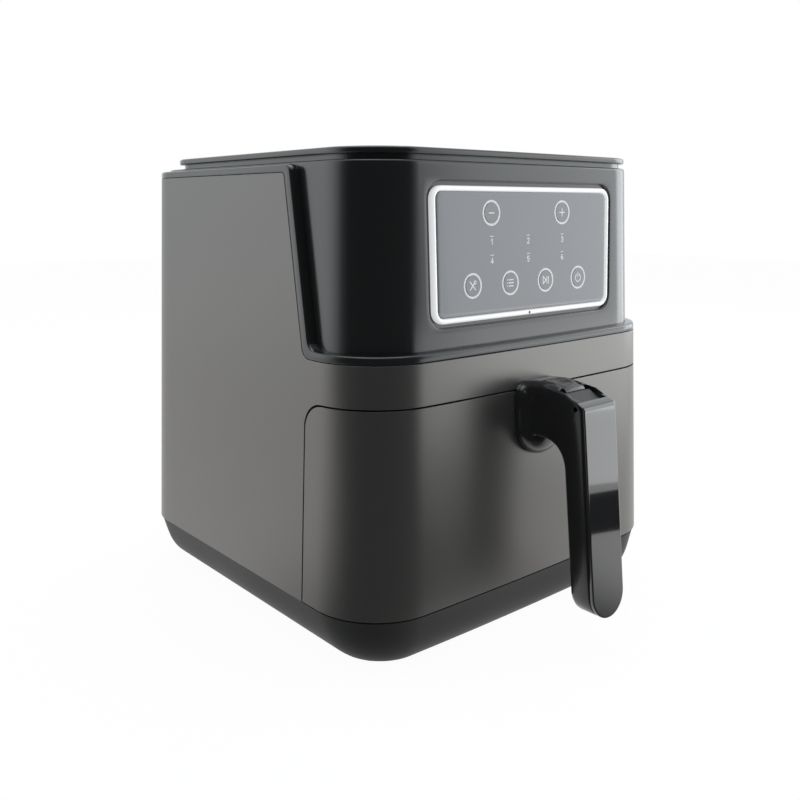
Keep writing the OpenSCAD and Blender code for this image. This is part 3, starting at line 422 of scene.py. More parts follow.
def node_group(name, inputs, outputs):
    """A new shader node group with (name, type, default) inputs and (name, type) outputs."""
    g = bpy.data.node_groups.new(name, "ShaderNodeTree")
    for label, kind, default in inputs:
        g.interface.new_socket(name=label, in_out="INPUT", socket_type="NodeSocket" + kind).default_value = default
    for label, kind in outputs:
        g.interface.new_socket(name=label, in_out="OUTPUT", socket_type="NodeSocket" + kind)
    return g, g.nodes.new("NodeGroupInput").outputs, g.nodes.new("NodeGroupOutput")


def grain_group():
    """Noise over the piece, as relief for moulded grain."""
    g, given, out = node_group("Moulded grain", [("Size", "Float", 900.0), ("Depth", "Float", 0.1)],
        [("Normal", "Vector")])
    where = add_node(g, "TexCoord").outputs["Object"]
    fine = add_node(g, "TexNoise", {"Vector": where, "Scale": given["Size"], "Detail": 3.0})
    bump = add_node(g, "Bump", {"Height": fine.outputs["Fac"], "Strength": given["Depth"], "Distance": 0.0002})
    feed(g, out, {"Normal": bump.outputs["Normal"]})
    return g


def drift_group():
    """Slow noise that moves a colour and a roughness a little either way, with fine specks for metal flake."""
    g, given, out = node_group("Colour drift",
        [("Color", "Color", (0.5, 0.5, 0.5, 1)), ("Roughness", "Float", 0.4), ("Scale", "Float", 14.0),
         ("Amount", "Float", 0.05), ("Flake", "Float", 0.0)], [("Color", "Color"), ("Roughness", "Float")])
    where = add_node(g, "TexCoord").outputs["Object"]
    slow = add_node(g, "TexNoise", {"Vector": where, "Scale": given["Scale"], "Detail": 5.0})
    fleck = add_node(g, "TexVoronoi", {"Vector": where, "Scale": 1600.0})
    swing = maths(g, "MULTIPLY", maths(g, "SUBTRACT", slow.outputs["Fac"], 0.5), given["Amount"])
    flake = maths(g, "MULTIPLY", maths(g, "SUBTRACT", fleck.outputs["Distance"], 0.5), given["Flake"])
    factor = maths(g, "ADD", maths(g, "ADD", maths(g, "MULTIPLY", swing, 2.0), flake), 1.0)
    tint = add_node(g, "VectorMath", {0: given["Color"], "Scale": factor}, operation="SCALE")
    feed(g, out, {"Color": tint.outputs["Vector"],
        "Roughness": maths(g, "ADD", given["Roughness"], maths(g, "MULTIPLY", swing, 1.4))})
    return g


def brushed_group():
    """Noise drawn out along one direction, as the fine lines of rolled or brushed sheet."""
    g, given, out = node_group("Rolled lines",
        [("Stretch", "Vector", (20.0, 20.0, 900.0)), ("Depth", "Float", 0.1), ("Roughness", "Float", 0.35)],
        [("Roughness", "Float"), ("Normal", "Vector")])
    where = add_node(g, "TexCoord").outputs["Object"]
    drawn = add_node(g, "VectorMath", {0: where, 1: given["Stretch"]}, operation="MULTIPLY")
    lines = add_node(g, "TexNoise", {"Vector": drawn.outputs["Vector"], "Scale": 1.0, "Detail": 4.0}).outputs["Fac"]
    bump = add_node(g, "Bump", {"Height": lines, "Strength": given["Depth"], "Distance": 0.0001})
    feed(g, out, {"Roughness": maths(g, "MULTIPLY_ADD", lines, 0.22, given["Roughness"]),
        "Normal": bump.outputs["Normal"]})
    return g


def new_material(name, **fixed):
    """A new finish: its node tree and its shader, which keeps every fixed number on its own sockets."""
    m = FINISHES[name] = bpy.data.materials.new(name)
    m.use_nodes = True
    shader = m.node_tree.nodes["Principled BSDF"]
    feed(m.node_tree, shader, {label.replace("_", " "): value for label, value in fixed.items()})
    return m.node_tree, shader


def finish(name, tone, roughness, drift=0.05, scale=14.0, flake=0.0, grain=None, lines=None, **fixed):
    """A finish whose colour, roughness and relief come from the shared groups."""
    tree, shader = new_material(name, **fixed)
    drifted = add_node(tree, "Group", {"Color": (*tone, 1), "Roughness": roughness, "Scale": scale, "Amount": drift,
        "Flake": flake}, node_tree=GROUPS["drift"]).outputs
    feed(tree, shader, {"Base Color": drifted["Color"], "Roughness": drifted["Roughness"]})
    if grain:
        relief = add_node(tree, "Group", {"Size": grain[0], "Depth": grain[1]}, node_tree=GROUPS["grain"]).outputs
        feed(tree, shader, {"Normal": relief["Normal"]})
    if lines:
        relief = add_node(tree, "Group", {"Stretch": lines, "Roughness": roughness - 0.1},
            node_tree=GROUPS["lines"]).outputs
        feed(tree, shader, {"Normal": relief["Normal"], "Roughness": relief["Roughness"]})


class FRYER_OT_finishes(bpy.types.Operator):
    """Makes the finishes and gives each frame node its own"""
    bl_idname = "fryer.finishes"
    bl_label = "Finishes"

    def execute(self, context):
        c = context.scene.fryer_colours
        GROUPS.update(grain=grain_group(), drift=drift_group(), lines=brushed_group())
        finish("shell_paint", c.paint, 0.34, 0.03, 9.0, 0.06, grain=(2600.0, 0.03), Metallic=0.68,
            Specular_IOR_Level=0.5)
        finish("gloss_black", c.gloss, 0.20, 0.03, 22.0, grain=(900.0, 0.012), Specular_IOR_Level=0.6,
            Coat_Weight=0.35, Coat_Roughness=0.12)
        finish("strip_gloss", c.gloss, 0.06, 0.02, 22.0, Specular_IOR_Level=0.9, Coat_Weight=0.84,
            Coat_Roughness=0.03)
        finish("matte_black", c.matte, 0.50, 0.06, 18.0, grain=(2200.0, 0.16), Specular_IOR_Level=0.34)
        finish("rubber", (0.018, 0.018, 0.018), 0.75, 0.08, 30.0, grain=(1600.0, 0.2), Specular_IOR_Level=0.3)
        # the ring's emission of 0.52 is painted glow: the white rim shines brighter than the lamps alone would make
        # it
        finish("ring_white", c.ring, 0.20, 0.01, 10.0, Coat_Weight=0.5, Coat_Roughness=0.05, Emission_Color=WHITE,
            Emission_Strength=0.52)
        finish("touch_glass", c.glass, 0.10, 0.02, 8.0, Specular_IOR_Level=0.6, Coat_Weight=1.0, Coat_Roughness=0.03)
        # the print's emission of 0.28 is painted glow, so that the printed white marks shine brighter than the lamps
        # alone make them
        finish("panel_print_painted_glow", c.print_white, 0.45, 0.02, 40.0, Emission_Color=WHITE, Emission_Strength=0.28)
        # dark arcs of painted shadow inside the touch marks' rings
        finish("painted_mark_shadow", (0.05, 0.055, 0.06), 0.5, 0.02, 40.0)
        finish("circuit_board", (0.020, 0.105, 0.045), 0.42, 0.10, 160.0, grain=(1200.0, 0.2), Coat_Weight=0.4)
        finish("steel_sheet", (0.52, 0.525, 0.53), 0.38, 0.06, 26.0, lines=(14.0, 700.0, 14.0), Metallic=1.0)
        finish("bright_metal", (0.74, 0.74, 0.75), 0.20, 0.04, 60.0, Metallic=1.0)
        finish("element_metal", (0.19, 0.165, 0.145), 0.46, 0.25, 70.0, grain=(1500.0, 0.15), Metallic=0.85)
        finish("ceramic", (0.74, 0.71, 0.63), 0.5, 0.04, 60.0, grain=(1500.0, 0.12))
        finish("coated_pan", c.coating, 0.42, 0.10, 120.0, 0.5, grain=(1300.0, 0.12), Metallic=0.25)
        finish("bumper_silicone", (0.045, 0.045, 0.047), 0.6, 0.05, 60.0, grain=(1200.0, 0.1))
        finish("fan_metal", (0.66, 0.665, 0.67), 0.34, 0.05, 30.0, lines=(400.0, 400.0, 30.0), Metallic=1.0)
        finish("button_grey", (0.050, 0.050, 0.053), 0.36, 0.04, 60.0, grain=(2200.0, 0.1))
        finish("plunger_red", (0.42, 0.035, 0.03), 0.4, 0.04, 60.0, grain=(1600.0, 0.06))
        by_slot = {"grey_shell": "shell_paint", "black_gloss": "gloss_black", "black_matte": "matte_black",
            "feet_rubber": "rubber", "panel_glass": "touch_glass", "board_green": "circuit_board"}
        for sub in frame["record"]["subparts"]:
            slot = sub["material_slot"]
            mesh = frame["nodes"][sub["node"]].data
            mesh.materials.clear()
            mesh.materials.append(FINISHES[by_slot.get(slot, slot)])
        return {"FINISHED"}


# ------------------------------------------------------------------ shell, drawer front and trim
def seam_curve(ahead, low, top, low_r, top_r, steps=6, straight=5):
    """(y, z) along the slanted seam between two levels: a lower fillet, the slant and an upper fillet."""
    slant = math.radians(SLANT)

    def seam_y(z):
        return SEAM_FOOT - ahead + (z - TRIM_Z) * math.tan(slant)
    z1, z2 = low + low_r, top - top_r
    first = arc_points(seam_y(z1) - low_r / math.cos(slant), z1, low_r, 270, 360 - SLANT, steps + 1)
    last = arc_points(seam_y(z2) + top_r / math.cos(slant), z2, top_r, 180 - SLANT, 90, steps + 1)
    t = np.linspace(0, 1, straight + 2)[1:-1, None]
    return np.vstack([first, first[-1] * (1 - t) + last[0] * t, last])


SHELL_SEAM = (0.0, TRIM_Z, SHELL_TOP, 8.0, 3.0)


def upper_edge(y, kind):
    """Height of the shell's upper edge at y: low at the front, then up the slanted seam, then level."""
    curve = seam_curve(*SHELL_SEAM, steps=10)
    return np.where(kind <= FRONT_CORNER, TRIM_Z, np.interp(y, curve[:, 0], curve[:, 1]))


def drawer_line(y, grow):
    """Height of the drawer front's upper edge at y, round its upper corner and level further forward."""
    cy, cz = DRAWER_EDGE + grow - DRAWER_R, DRAWER_Z + grow - DRAWER_R
    t = np.clip((y - cy) / DRAWER_R, 0, 1)
    return cz + DRAWER_R * np.sqrt(1 - t * t)


def levels_between(kind, value, low, high, shares):
    """Rows at shares of the way from low to high in every column, laid on the housing."""
    z = low[None, :] + (high - low)[None, :] * np.asarray(shares)[:, None]
    x, y = on_housing(kind[None, :], value[None, :], z, 0.0)
    return x, y, z


def settle(kind, value, edge, start):
    """Level of an edge line in every column, found by stepping between the level and the column's y there."""
    z = np.full(len(kind), float(start))
    for _ in range(8):
        z = edge(on_housing(kind, value, z, 0.0)[1])
    return z


VENT_Z, VENT_HALF = (172.0, 188.0), 52
SLOT_Z, SLOT_HALF, SLOT_PITCH, SLOT_FIELD = (230.0, 274.0), 2, 10, 63
REAR_X = [92, 80, 70, 62, 58, 52.007, 48, 42, 38, 32, 28, 22, 18, 12, 8, 2, 0]


def rear_opening(p):
    """True where a face centre lies in the exhaust window or in one of the upright rear slots."""
    x, y, z = p.T
    vent = (np.abs(x) < VENT_HALF) & (z > VENT_Z[0]) & (z < VENT_Z[1])
    off_centre = np.abs((x + SLOT_PITCH / 2) % SLOT_PITCH - SLOT_PITCH / 2)
    slots = (np.abs(x) < SLOT_FIELD) & (off_centre < SLOT_HALF) & (z > SLOT_Z[0]) & (z < SLOT_Z[1])
    return (y > FACE_Y) & (vent | slots)


class FRYER_OT_shell(bpy.types.Operator):
    """Grey outer shell with its drawer opening, slanted seam, exhaust window and rear slots"""
    bl_idname = "fryer.shell"
    bl_label = "Outer shell"

    def execute(self, context):
        cut = DRAWER_EDGE + HALF_GAP
        side = np.concatenate([[-91.5, -89.5, -87.5, -85.8, -84.4, -83.4, cut], seam_curve(*SHELL_SEAM)[:, 0],
            [-40, -10, 25, 60, 92]])
        side = np.unique(np.round(side, 4))
        kind, value = columns([0, 16, 32, 48, 64, 76, 88], CORNER_FINE, side, REAR_FINE, REAR_X)
        ahead = on_housing(kind, value, SPLIT_Z, 0.0)[1] < cut - 1e-6
        low = settle(kind, value, lambda y: np.where(y < cut, drawer_line(y, HALF_GAP), SPLIT_Z), 160.0)
        low = np.where(ahead, low, SPLIT_Z)
        high = settle(kind, value, lambda y: upper_edge(y, kind), 240.0)
        rows = np.array([SPLIT_Z, 158, 165, VENT_Z[0], 180, VENT_Z[1], 198, 214, SLOT_Z[0], 244, 259, SLOT_Z[1], 286,
            293, SHELL_TOP])
        upper = levels_between(kind, value, low, high, (rows - SPLIT_Z) / (SHELL_TOP - SPLIT_Z))
        s = Shape().grid(both_halves(*upper), closed=True, keep=lambda p: ~rear_opening(p))
        # the part behind the drawer goes on down to the base, open at the front
        kind, value = kind[~ahead], value[~ahead]
        foot, split = np.full(len(kind), SEAM_Z), np.full(len(kind), SPLIT_Z)
        x, y, z = levels_between(kind, value, foot, split, np.array([0, 3, 24, 54, 84, 115]) / (SPLIT_Z - SEAM_Z))
        s.grid(np.concatenate([np.stack([x, y, z], -1), np.stack([-x, y, z], -1)[:, -2::-1]], 1))
        piece = build("shell", s, "housing", "shell_paint", ["outer_shell"])
        wall(piece, housing().wall)
        round_edges(piece, housing().seam_round)
        return {"FINISHED"}


class FRYER_OT_drawer_front(bpy.types.Operator):
    """Grey drawer front, wrapped round both front corners, with a slot for the handle's neck"""
    bl_idname = "fryer.drawer_front"
    bl_label = "Drawer front"

    def execute(self, context):
        corner = DRAWER_EDGE - HALF_GAP - DRAWER_R
        side = np.sort(corner + DRAWER_R * np.cos(np.radians([0, 12, 24, 36, 48, 58])))
        kind, value = columns([0, 8, 16, 32, 48, 64, 76, 88], CORNER_FINE, side)
        slot_half, slot_z = 16, 136.0
        low, middle = np.full(len(kind), SEAM_Z + HALF_GAP), np.full(len(kind), slot_z)
        top = settle(kind, value, lambda y: drawer_line(y, -HALF_GAP), 160.0)
        rows = [levels_between(kind, value, low, middle, [0, 0.02, 0.25, 0.5, 0.75, 1]),
            levels_between(kind, value, middle, top, [0.25, 0.5, 0.75, 0.9, 1])]
        s = Shape().grid(open_halves(*(np.vstack(part) for part in zip(*rows))),
            keep=lambda p: ~((np.abs(p[:, 0]) < slot_half) & (p[:, 2] > slot_z)))
        piece = build("drawer_face", s, "drawer", "shell_paint", ["drawer_front"])
        wall(piece, housing().face_wall)
        round_edges(piece, housing().seam_round)
        return {"FINISHED"}


class FRYER_OT_trim(bpy.types.Operator):
    """Black trim strip under the head, up the slanted seams and round the rear"""
    bl_idname = "fryer.trim"
    bl_label = "Trim strip"

    def execute(self, context):
        low, top = TRIM_Z + SEAM_GAP, SHELL_TOP + SEAM_GAP
        inner = seam_curve(SEAM_GAP, low, top, 8.0, 3.0, steps=8, straight=6)
        outer = seam_curve(7.0, HEAD_Z, TRIM_TOP, 8.0, 5.0, steps=8, straight=6)
        front_kind, front_value = columns([0, 16, 32, 48, 64, 76, 88], CORNER_FINE)
        rear_kind, rear_value = columns([], [], [-30, 10, 50, 88], REAR_FINE, [92, 60, 30, 0])
        kind = np.concatenate([front_kind, np.full(len(inner), SIDE), rear_kind])

        def edge(seam, front_z, rear_z):
            """Value and level of one edge of the strip in every column."""
            return (np.concatenate([front_value, seam[:, 0], rear_value]),
                np.concatenate([np.full(len(front_kind), front_z), seam[:, 1], np.full(len(rear_kind), rear_z)]))
        a_value, a_z = edge(inner, low, top)
        b_value, b_z = edge(outer, HEAD_Z, TRIM_TOP)
        width = np.hypot(np.where(kind == SIDE, b_value - a_value, 0.0), b_z - a_z)
        # section of the strip: inset, distance from an edge, and 1 where that is the edge along the head
        quarter = np.radians([0, 22.5, 45, 67.5, 90])
        ra, rb, deep = 0.9, 1.6, 5.9
        rows = [(deep, 0.0, 0)] + [(ra - ra * math.sin(q), ra - ra * math.cos(q), 0) for q in quarter]
        rows += [(rb - rb * math.cos(q), rb - rb * math.sin(q), 1) for q in quarter] + [(deep, 0.0, 1)]
        inset, gap, far = np.array(rows + rows[:1]).T[:, :, None]
        share = np.where(far, 1 - gap / width, gap / width)
        value, z = (a * (1 - share) + b * share for a, b in ((a_value, b_value), (a_z, b_z)))
        x, y = on_housing(kind, value, z, inset)
        build("trim_strip", Shape().grid(both_halves(x, y, z), closed=True), "housing", "gloss_black",
            ["trim_frame"], sharp=50)
        return {"FINISHED"}


# ------------------------------------------------------------------ control head and its panel
def on_panel(places, deep):
    """Points of the leaning panel, from places given across and up its face, and a depth behind its front plane."""
    lean = housing().lean
    plane = front_y(PANEL_Z) + housing().head_inset / MM + PANEL_SUNK
    x, up = np.asarray(places, float).T
    return np.stack([x, plane + deep * math.cos(lean) + up * math.sin(lean),
        PANEL_Z - deep * math.sin(lean) + up * math.cos(lean)], -1)


def head_face(x, z):
    """Depth of the head's bowed front face at x and z."""
    h = housing()
    return -depth_at(z) / 2 + h.head_inset / MM - h.crown / MM * (1 - (2 * x / width_at(z)) ** 2)


class FRYER_OT_head(bpy.types.Operator):
    """Black control head with the rolled edge of its panel opening, closed on top"""
    bl_idname = "fryer.head"
    bl_label = "Control head"

    def execute(self, context):
        inset = housing().head_inset / MM
        front = [0, 14, 28, 42, 56, 66, 74, 79, 83.5, 87, 90]
        kind, value = columns(front, CORNER_FINE, [-86, -60, -30, 0, 40, 88], REAR_FINE, REAR_X)
        # levels of the head's rows up to the rounding of its top edge, some of which bound the patch round the panel
        r = 1.6
        rows = np.array([HEAD_Z, 197, 201.5, 206.6, 212, 217.2, 223.5, SLOT_Z[0], 239.5, 249.1, 258.5, 266.5,
            SLOT_Z[1], 281.1, 286.2, 291.6, 297, 299.5, HEAD_TOP - r])
        patch_rows = rows[2:17]
        turn = np.radians([22.5, 45, 67.5, 90])
        z = np.concatenate([rows, HEAD_TOP - r + r * np.sin(turn), [HEAD_TOP, HEAD_TOP]])
        insets = inset + np.concatenate([np.zeros(len(rows)), r - r * np.cos(turn), [3.5, 14]])
        rings = rings_on_housing(kind, value, np.column_stack([z, insets]))

        def solid_face(c):
            x, y, z = c.T
            patch = (np.abs(x) < front[-1]) & (y < -FACE_Y) & (z > patch_rows[0]) & (z < patch_rows[-1])
            return ~patch & ~rear_opening(c)
        s = Shape().grid(rings, closed=True, keep=solid_face).fan(rings[-1], [0, 0, HEAD_TOP])
        across = [-v for v in front[:0:-1]] + front
        edge = [(x, patch_rows[0]) for x in across] + [(across[-1], z) for z in patch_rows[1:-1]]
        edge += [(x, patch_rows[-1]) for x in across[::-1]] + [(across[0], z) for z in patch_rows[-2:0:-1]]
        rows = self.opening(np.array(edge))
        s.grid(rows, closed=True).fan(rows[-1], on_panel((0, 0), OPENING_FLOOR))
        build("head", s, "housing", "gloss_black", ["control_head"], sharp=50)
        return {"FINISHED"}

    def opening(self, edge):
        """Rings from the patch's rectangular edge in to the rounded opening, over its rolled edge, and down to a
        floor behind the panel."""
        groove = bpy.context.scene.fryer_panel.groove / MM
        radius = PANEL_R + groove
        half = np.array([PANEL_W / 2, PANEL_H / 2]) + groove - radius
        cos = math.cos(housing().lean)
        flat = np.column_stack([edge[:, 0], (edge[:, 1] - PANEL_Z) / cos])
        core = np.clip(flat, -half, half)
        away = flat - core
        away /= np.linalg.norm(away, axis=1)[:, None]

        def face_ring(ring, deep):
            z = PANEL_Z + ring[:, 1] * cos
            return np.column_stack([ring[:, 0], head_face(ring[:, 0], z) + deep, z])
        outer = core + away * (radius + EDGE_ROLL)
        rows = [face_ring(flat, 0.0), face_ring((flat + outer) / 2, 0.0)]
        for a in np.radians([0, 22.5, 45, 67.5, 90]):
            ring = core + away * (radius + EDGE_ROLL - EDGE_ROLL * math.sin(a))
            rows.append(face_ring(ring, EDGE_ROLL - EDGE_ROLL * math.cos(a)))
        ring = core + away * radius
        rows += [on_panel(ring, deep) for deep in (1.9, OPENING_FLOOR)]
        for shrink in (6.0, 12.0):
            limit = half + radius - shrink
            rows.append(on_panel(np.clip(ring, -limit, limit), OPENING_FLOOR))
        return np.array(rows)


class FRYER_OT_top(bpy.types.Operator):
    """Top plate on its sunken neck"""
    bl_idname = "fryer.top"
    bl_label = "Top plate"

    def execute(self, context):
        kind, value = columns([0, 20, 40, 60, 76, 88], CORNER_FINE, [-84, -50, -15, 20, 50, 76], REAR_FINE,
            [88, 60, 30, 0])
        neck_z, rear_in, middle = HEAD_TOP - 0.2, 14.5, (0, -8)
        inset = housing().head_inset / MM
        section = [(neck_z, 4), (TOP - 4, 4), (TOP - 4, 2.0), (TOP - 3.9, 1.1), (TOP - 3.55, 0.6), (TOP - 3.1, 0.4),
            (TOP - 1.5, 0.4), (TOP - 0.95, 0.5), (TOP - 0.45, 0.85), (TOP - 0.12, 1.5), (TOP, 2.5), (TOP, 5),
            (TOP, 18)]
        rings = rings_on_housing(kind, value, [(z, inset + more) for z, more in section], rear_in)
        s = Shape().grid(rings, closed=True)
        s.fan(rings[-1], [*middle, TOP]).fan(rings[0], [*middle, neck_z], flip=True)
        build("top_plate", s, "housing", "gloss_black", ["top_cover"], sharp=50)
        return {"FINISHED"}


class FRYER_OT_panel(bpy.types.Operator):
    """Bright rounded ring, white with a painted glow, and the smoked touch glass inside it"""
    bl_idname = "fryer.panel"
    bl_label = "Ring and glass"

    def execute(self, context):
        width = context.scene.fryer_panel.ring_width / MM

        def outline(off):
            return rounded_loop(PANEL_W - 2 * off, PANEL_H - 2 * off, max(PANEL_R - off, 0.5), 8)
        # the ring's section as (distance in from its outside, depth)
        section = [(width, 2.55), (width, 0.6)]
        section += [(width / 2 + width / 2 * math.cos(math.radians(a)), 0.5 - 1.5 * math.sin(math.radians(a)))
            for a in range(10, 180, 20)]
        section += [(0.0, 0.6), (0.0, 2.55)]
        s = Shape().grid(np.array([on_panel(outline(off), deep) for off, deep in section + section[:1]]), closed=True,
            flip=True)
        build("panel_rim", s, "housing", "ring_white", ["panel_ring"], sharp=60)
        section = [(0.25, 2.5), (0.25, 0.5), (0.33, 0.22), (0.55, 0.05), (0.85, 0.0), (3.0, 0.0), (12.0, 0.0)]
        rows = np.array([on_panel(outline(width + off), deep) for off, deep in section])
        s = Shape().grid(rows, closed=True)
        s.fan(rows[-1], rows[-1].mean(0)).fan(rows[0], rows[0].mean(0), flip=True)
        build("glass", s, "housing", "touch_glass", ["touch_glass"], sharp=60)
        return {"FINISHED"}


def mark_strip(path, width):
    """Outline of a printed line: a strip of even width along a path of (across, up) points, with round ends."""
    path = np.asarray(path, float)
    step = np.diff(path, axis=0)
    step /= np.maximum(np.linalg.norm(step, axis=1), 1e-9)[:, None]
    tangent = np.vstack([step[:1], (step[1:] + step[:-1]) / 2, step[-1:]])
    tangent /= np.maximum(np.linalg.norm(tangent, axis=1), 1e-6)[:, None]
    normal = np.column_stack([-tangent[:, 1], tangent[:, 0]])
    cos = np.clip(np.concatenate([[1], np.sum(tangent[1:-1] * step[:-1], 1), [1]]), 0.4, 1)
    half = width / 2 / cos[:, None]
    start, end = path[0] - step[0] * width * 0.45, path[-1] + step[-1] * width * 0.45
    left, right = (np.vstack([start + side * normal[0] * width * 0.2, path + side * normal * half,
        end + side * normal[-1] * width * 0.2]) for side in (1, -1))
    return np.vstack([left, right[::-1]])[::-1]


def add_flat(s, ring, lift):
    """A flat print: the ring as one face on the glass and its rim down to the glass."""
    top, low = on_panel(ring, -lift), on_panel(ring, 0.0)
    s.cap(top).cap(low, flip=True).grid(np.stack([low, top]), closed=True)


def add_ring(s, cx, cy, r, width, lift, n=40):
    """A printed ring: the section from the glass over its outer and inner edge, turned round its centre."""
    a = np.linspace(0, 2 * np.pi, n, endpoint=False)
    unit = np.column_stack([np.cos(a), np.sin(a)])
    outer, inner = [cx, cy] + unit * (r + width / 2), [cx, cy] + unit * (r - width / 2)
    section = [(outer, 0.0), (outer, -lift), (inner, -lift), (inner, 0.0), (outer, 0.0)]
    s.grid(np.array([on_panel(ring, deep) for ring, deep in section]), closed=True)


# across and level of the touch marks and of the numbers, and the strokes of the numbers 1 to 6
TOUCH_MARKS = [(-33.3, 273.3), (33.3, 273.3), (-50.2, 230.3), (-16.8, 230.3), (16.8, 230.3), (50.2, 230.3)]
NUMBERS = [(-33.2, 256.0), (0, 256.0), (33.4, 256.0), (-33.2, 244.6), (0, 244.6), (33.4, 244.6)]
DIGITS = [
    [(-0.7, 1.3), (0.3, 2.0), (0.3, -2.0)],
    [(-1.1, 1.1), (-0.8, 1.8), (0.0, 2.05), (0.8, 1.75), (1.05, 1.0), (0.7, 0.2), (-1.2, -2.0), (1.2, -2.0)],
    [(-1.0, 1.6), (-0.2, 2.05), (0.7, 1.8), (1.0, 1.05), (0.6, 0.3), (-0.2, 0.1), (0.7, -0.15), (1.1, -1.0),
     (0.7, -1.8), (-0.2, -2.05), (-1.1, -1.6)],
    [(0.6, -2.0), (0.6, 2.0), (-1.2, -0.8), (1.3, -0.8)],
    [(1.0, 2.0), (-0.8, 2.0), (-1.0, 0.2), (0.0, 0.5), (0.9, 0.2), (1.15, -0.7), (0.8, -1.7), (-0.1, -2.05),
     (-1.1, -1.7)],
    [(0.8, 1.9), (-0.2, 1.5), (-0.9, 0.5), (-1.1, -0.8), (-0.6, -1.8), (0.1, -2.05), (0.8, -1.75), (1.1, -0.9),
     (0.7, -0.1), (-0.1, 0.1), (-0.9, -0.4)],
]
SENSOR_UP, SENSOR_R = -38.5, 0.9


class FRYER_OT_marks(bpy.types.Operator):
    """Touch marks with plain symbols, and plain numbers, printed on the glass, with painted shadow inside each ring's
    left side
    """
    bl_idname = "fryer.marks"
    bl_label = "Touch marks"

    def execute(self, context):
        p = context.scene.fryer_panel
        r, line, lift = p.button_size / MM / 2, p.line / MM, p.print_height / MM
        s, shade = Shape(), Shape()
        minus, plus, crossed, menu, play, power = places = [(x, z - PANEL_Z) for x, z in TOUCH_MARKS]
        for place in places:
            add_ring(s, *place, r - line * 0.75, line * 1.5, lift)
            # a dark arc inside the left side of each ring is painted shadow, laid on the glass beside the printed
            # ring
            add_flat(shade, mark_strip(arc_points(*place, r - 1.3, 118, 242, 14), 0.9), lift * 0.7)

        def stroke(place, path, width=line * 0.9, size=1.0):
            add_flat(s, mark_strip(np.asarray(path, float) * size + place, width), lift)
        stroke(minus, [(-2.2, 0), (2.2, 0)])
        stroke(plus, [(-2.4, 0), (2.4, 0)])
        stroke(plus, [(0, -2.4), (0, 2.4)])
        stroke(crossed, [(-2.4, 2.6), (2.4, -2.6)])
        stroke(crossed, [(-2.4, -2.6), (1.3, 1.4)])
        add_ring(s, crossed[0] + 1.9, crossed[1] + 2.0, 0.9, line * 0.8, lift, 16)
        for up in (-1.9, 0.0, 1.9):
            stroke(menu, [(-1.2, up), (2.6, up)])
            add_ring(s, menu[0] - 2.5, menu[1] + up, 0.25, 0.4, lift, 10)
        stroke(play, [(-2.4, -2.3), (-2.4, 2.3), (0.5, 0), (-2.4, -2.3)])
        for x in (1.3, 2.8):
            stroke(play, [(x, -2.2), (x, 2.2)])
        stroke(power, arc_points(0, -0.2, 2.6, 125, 415, 22))
        stroke(power, [(0, 0.4), (0, 3.2)])
        for (x, z), path in zip(NUMBERS, DIGITS):
            up = z - PANEL_Z
            stroke((x, up), path, line * 0.75, 0.8)
            stroke((x, up + 3.4), [(-1.3, 0), (1.3, 0)], line * 0.55)
        build("touch_marks", s, "housing", "panel_print_painted_glow", sharp=30)
        build("touch_mark_painted_shadows", shade, "housing", "painted_mark_shadow", sharp=30)
        a = np.radians(np.arange(0, 360, 30))
        ring = np.column_stack([SENSOR_R * np.cos(a), SENSOR_UP + SENSOR_R * np.sin(a)])
        rows = np.array([on_panel(ring, -0.8), on_panel(ring * [0.9, 1], -1.15)])
        dot = Shape().grid(rows, closed=True).fan(rows[-1], on_panel((0, SENSOR_UP), -1.17))
        dot.fan(rows[0], on_panel((0, SENSOR_UP), -0.8), flip=True)
        build("sensor_dot", dot, "housing", "gloss_black", sharp=60)
        return {"FINISHED"}


# ------------------------------------------------------------------ base and feet
def base_draw(z):
    """How far the base stands inside the outline: a steady slope that curls in close to the foot."""
    t = (SEAM_Z - z) / (SEAM_Z - FOOT_H)
    return 0.8 + 10 * t + 7.5 * t ** 5


def centres_of_four(node, inset):
    """(x, y) round the housing's middle of the four like parts of a node, whose centres stand inset from its box."""
    (x0, y0, _), (x1, y1, _) = node_box(node)
    return [(x, y - SHIFT) for x in (x0 + inset, x1 - inset) for y in (y0 + inset, y1 - inset)]


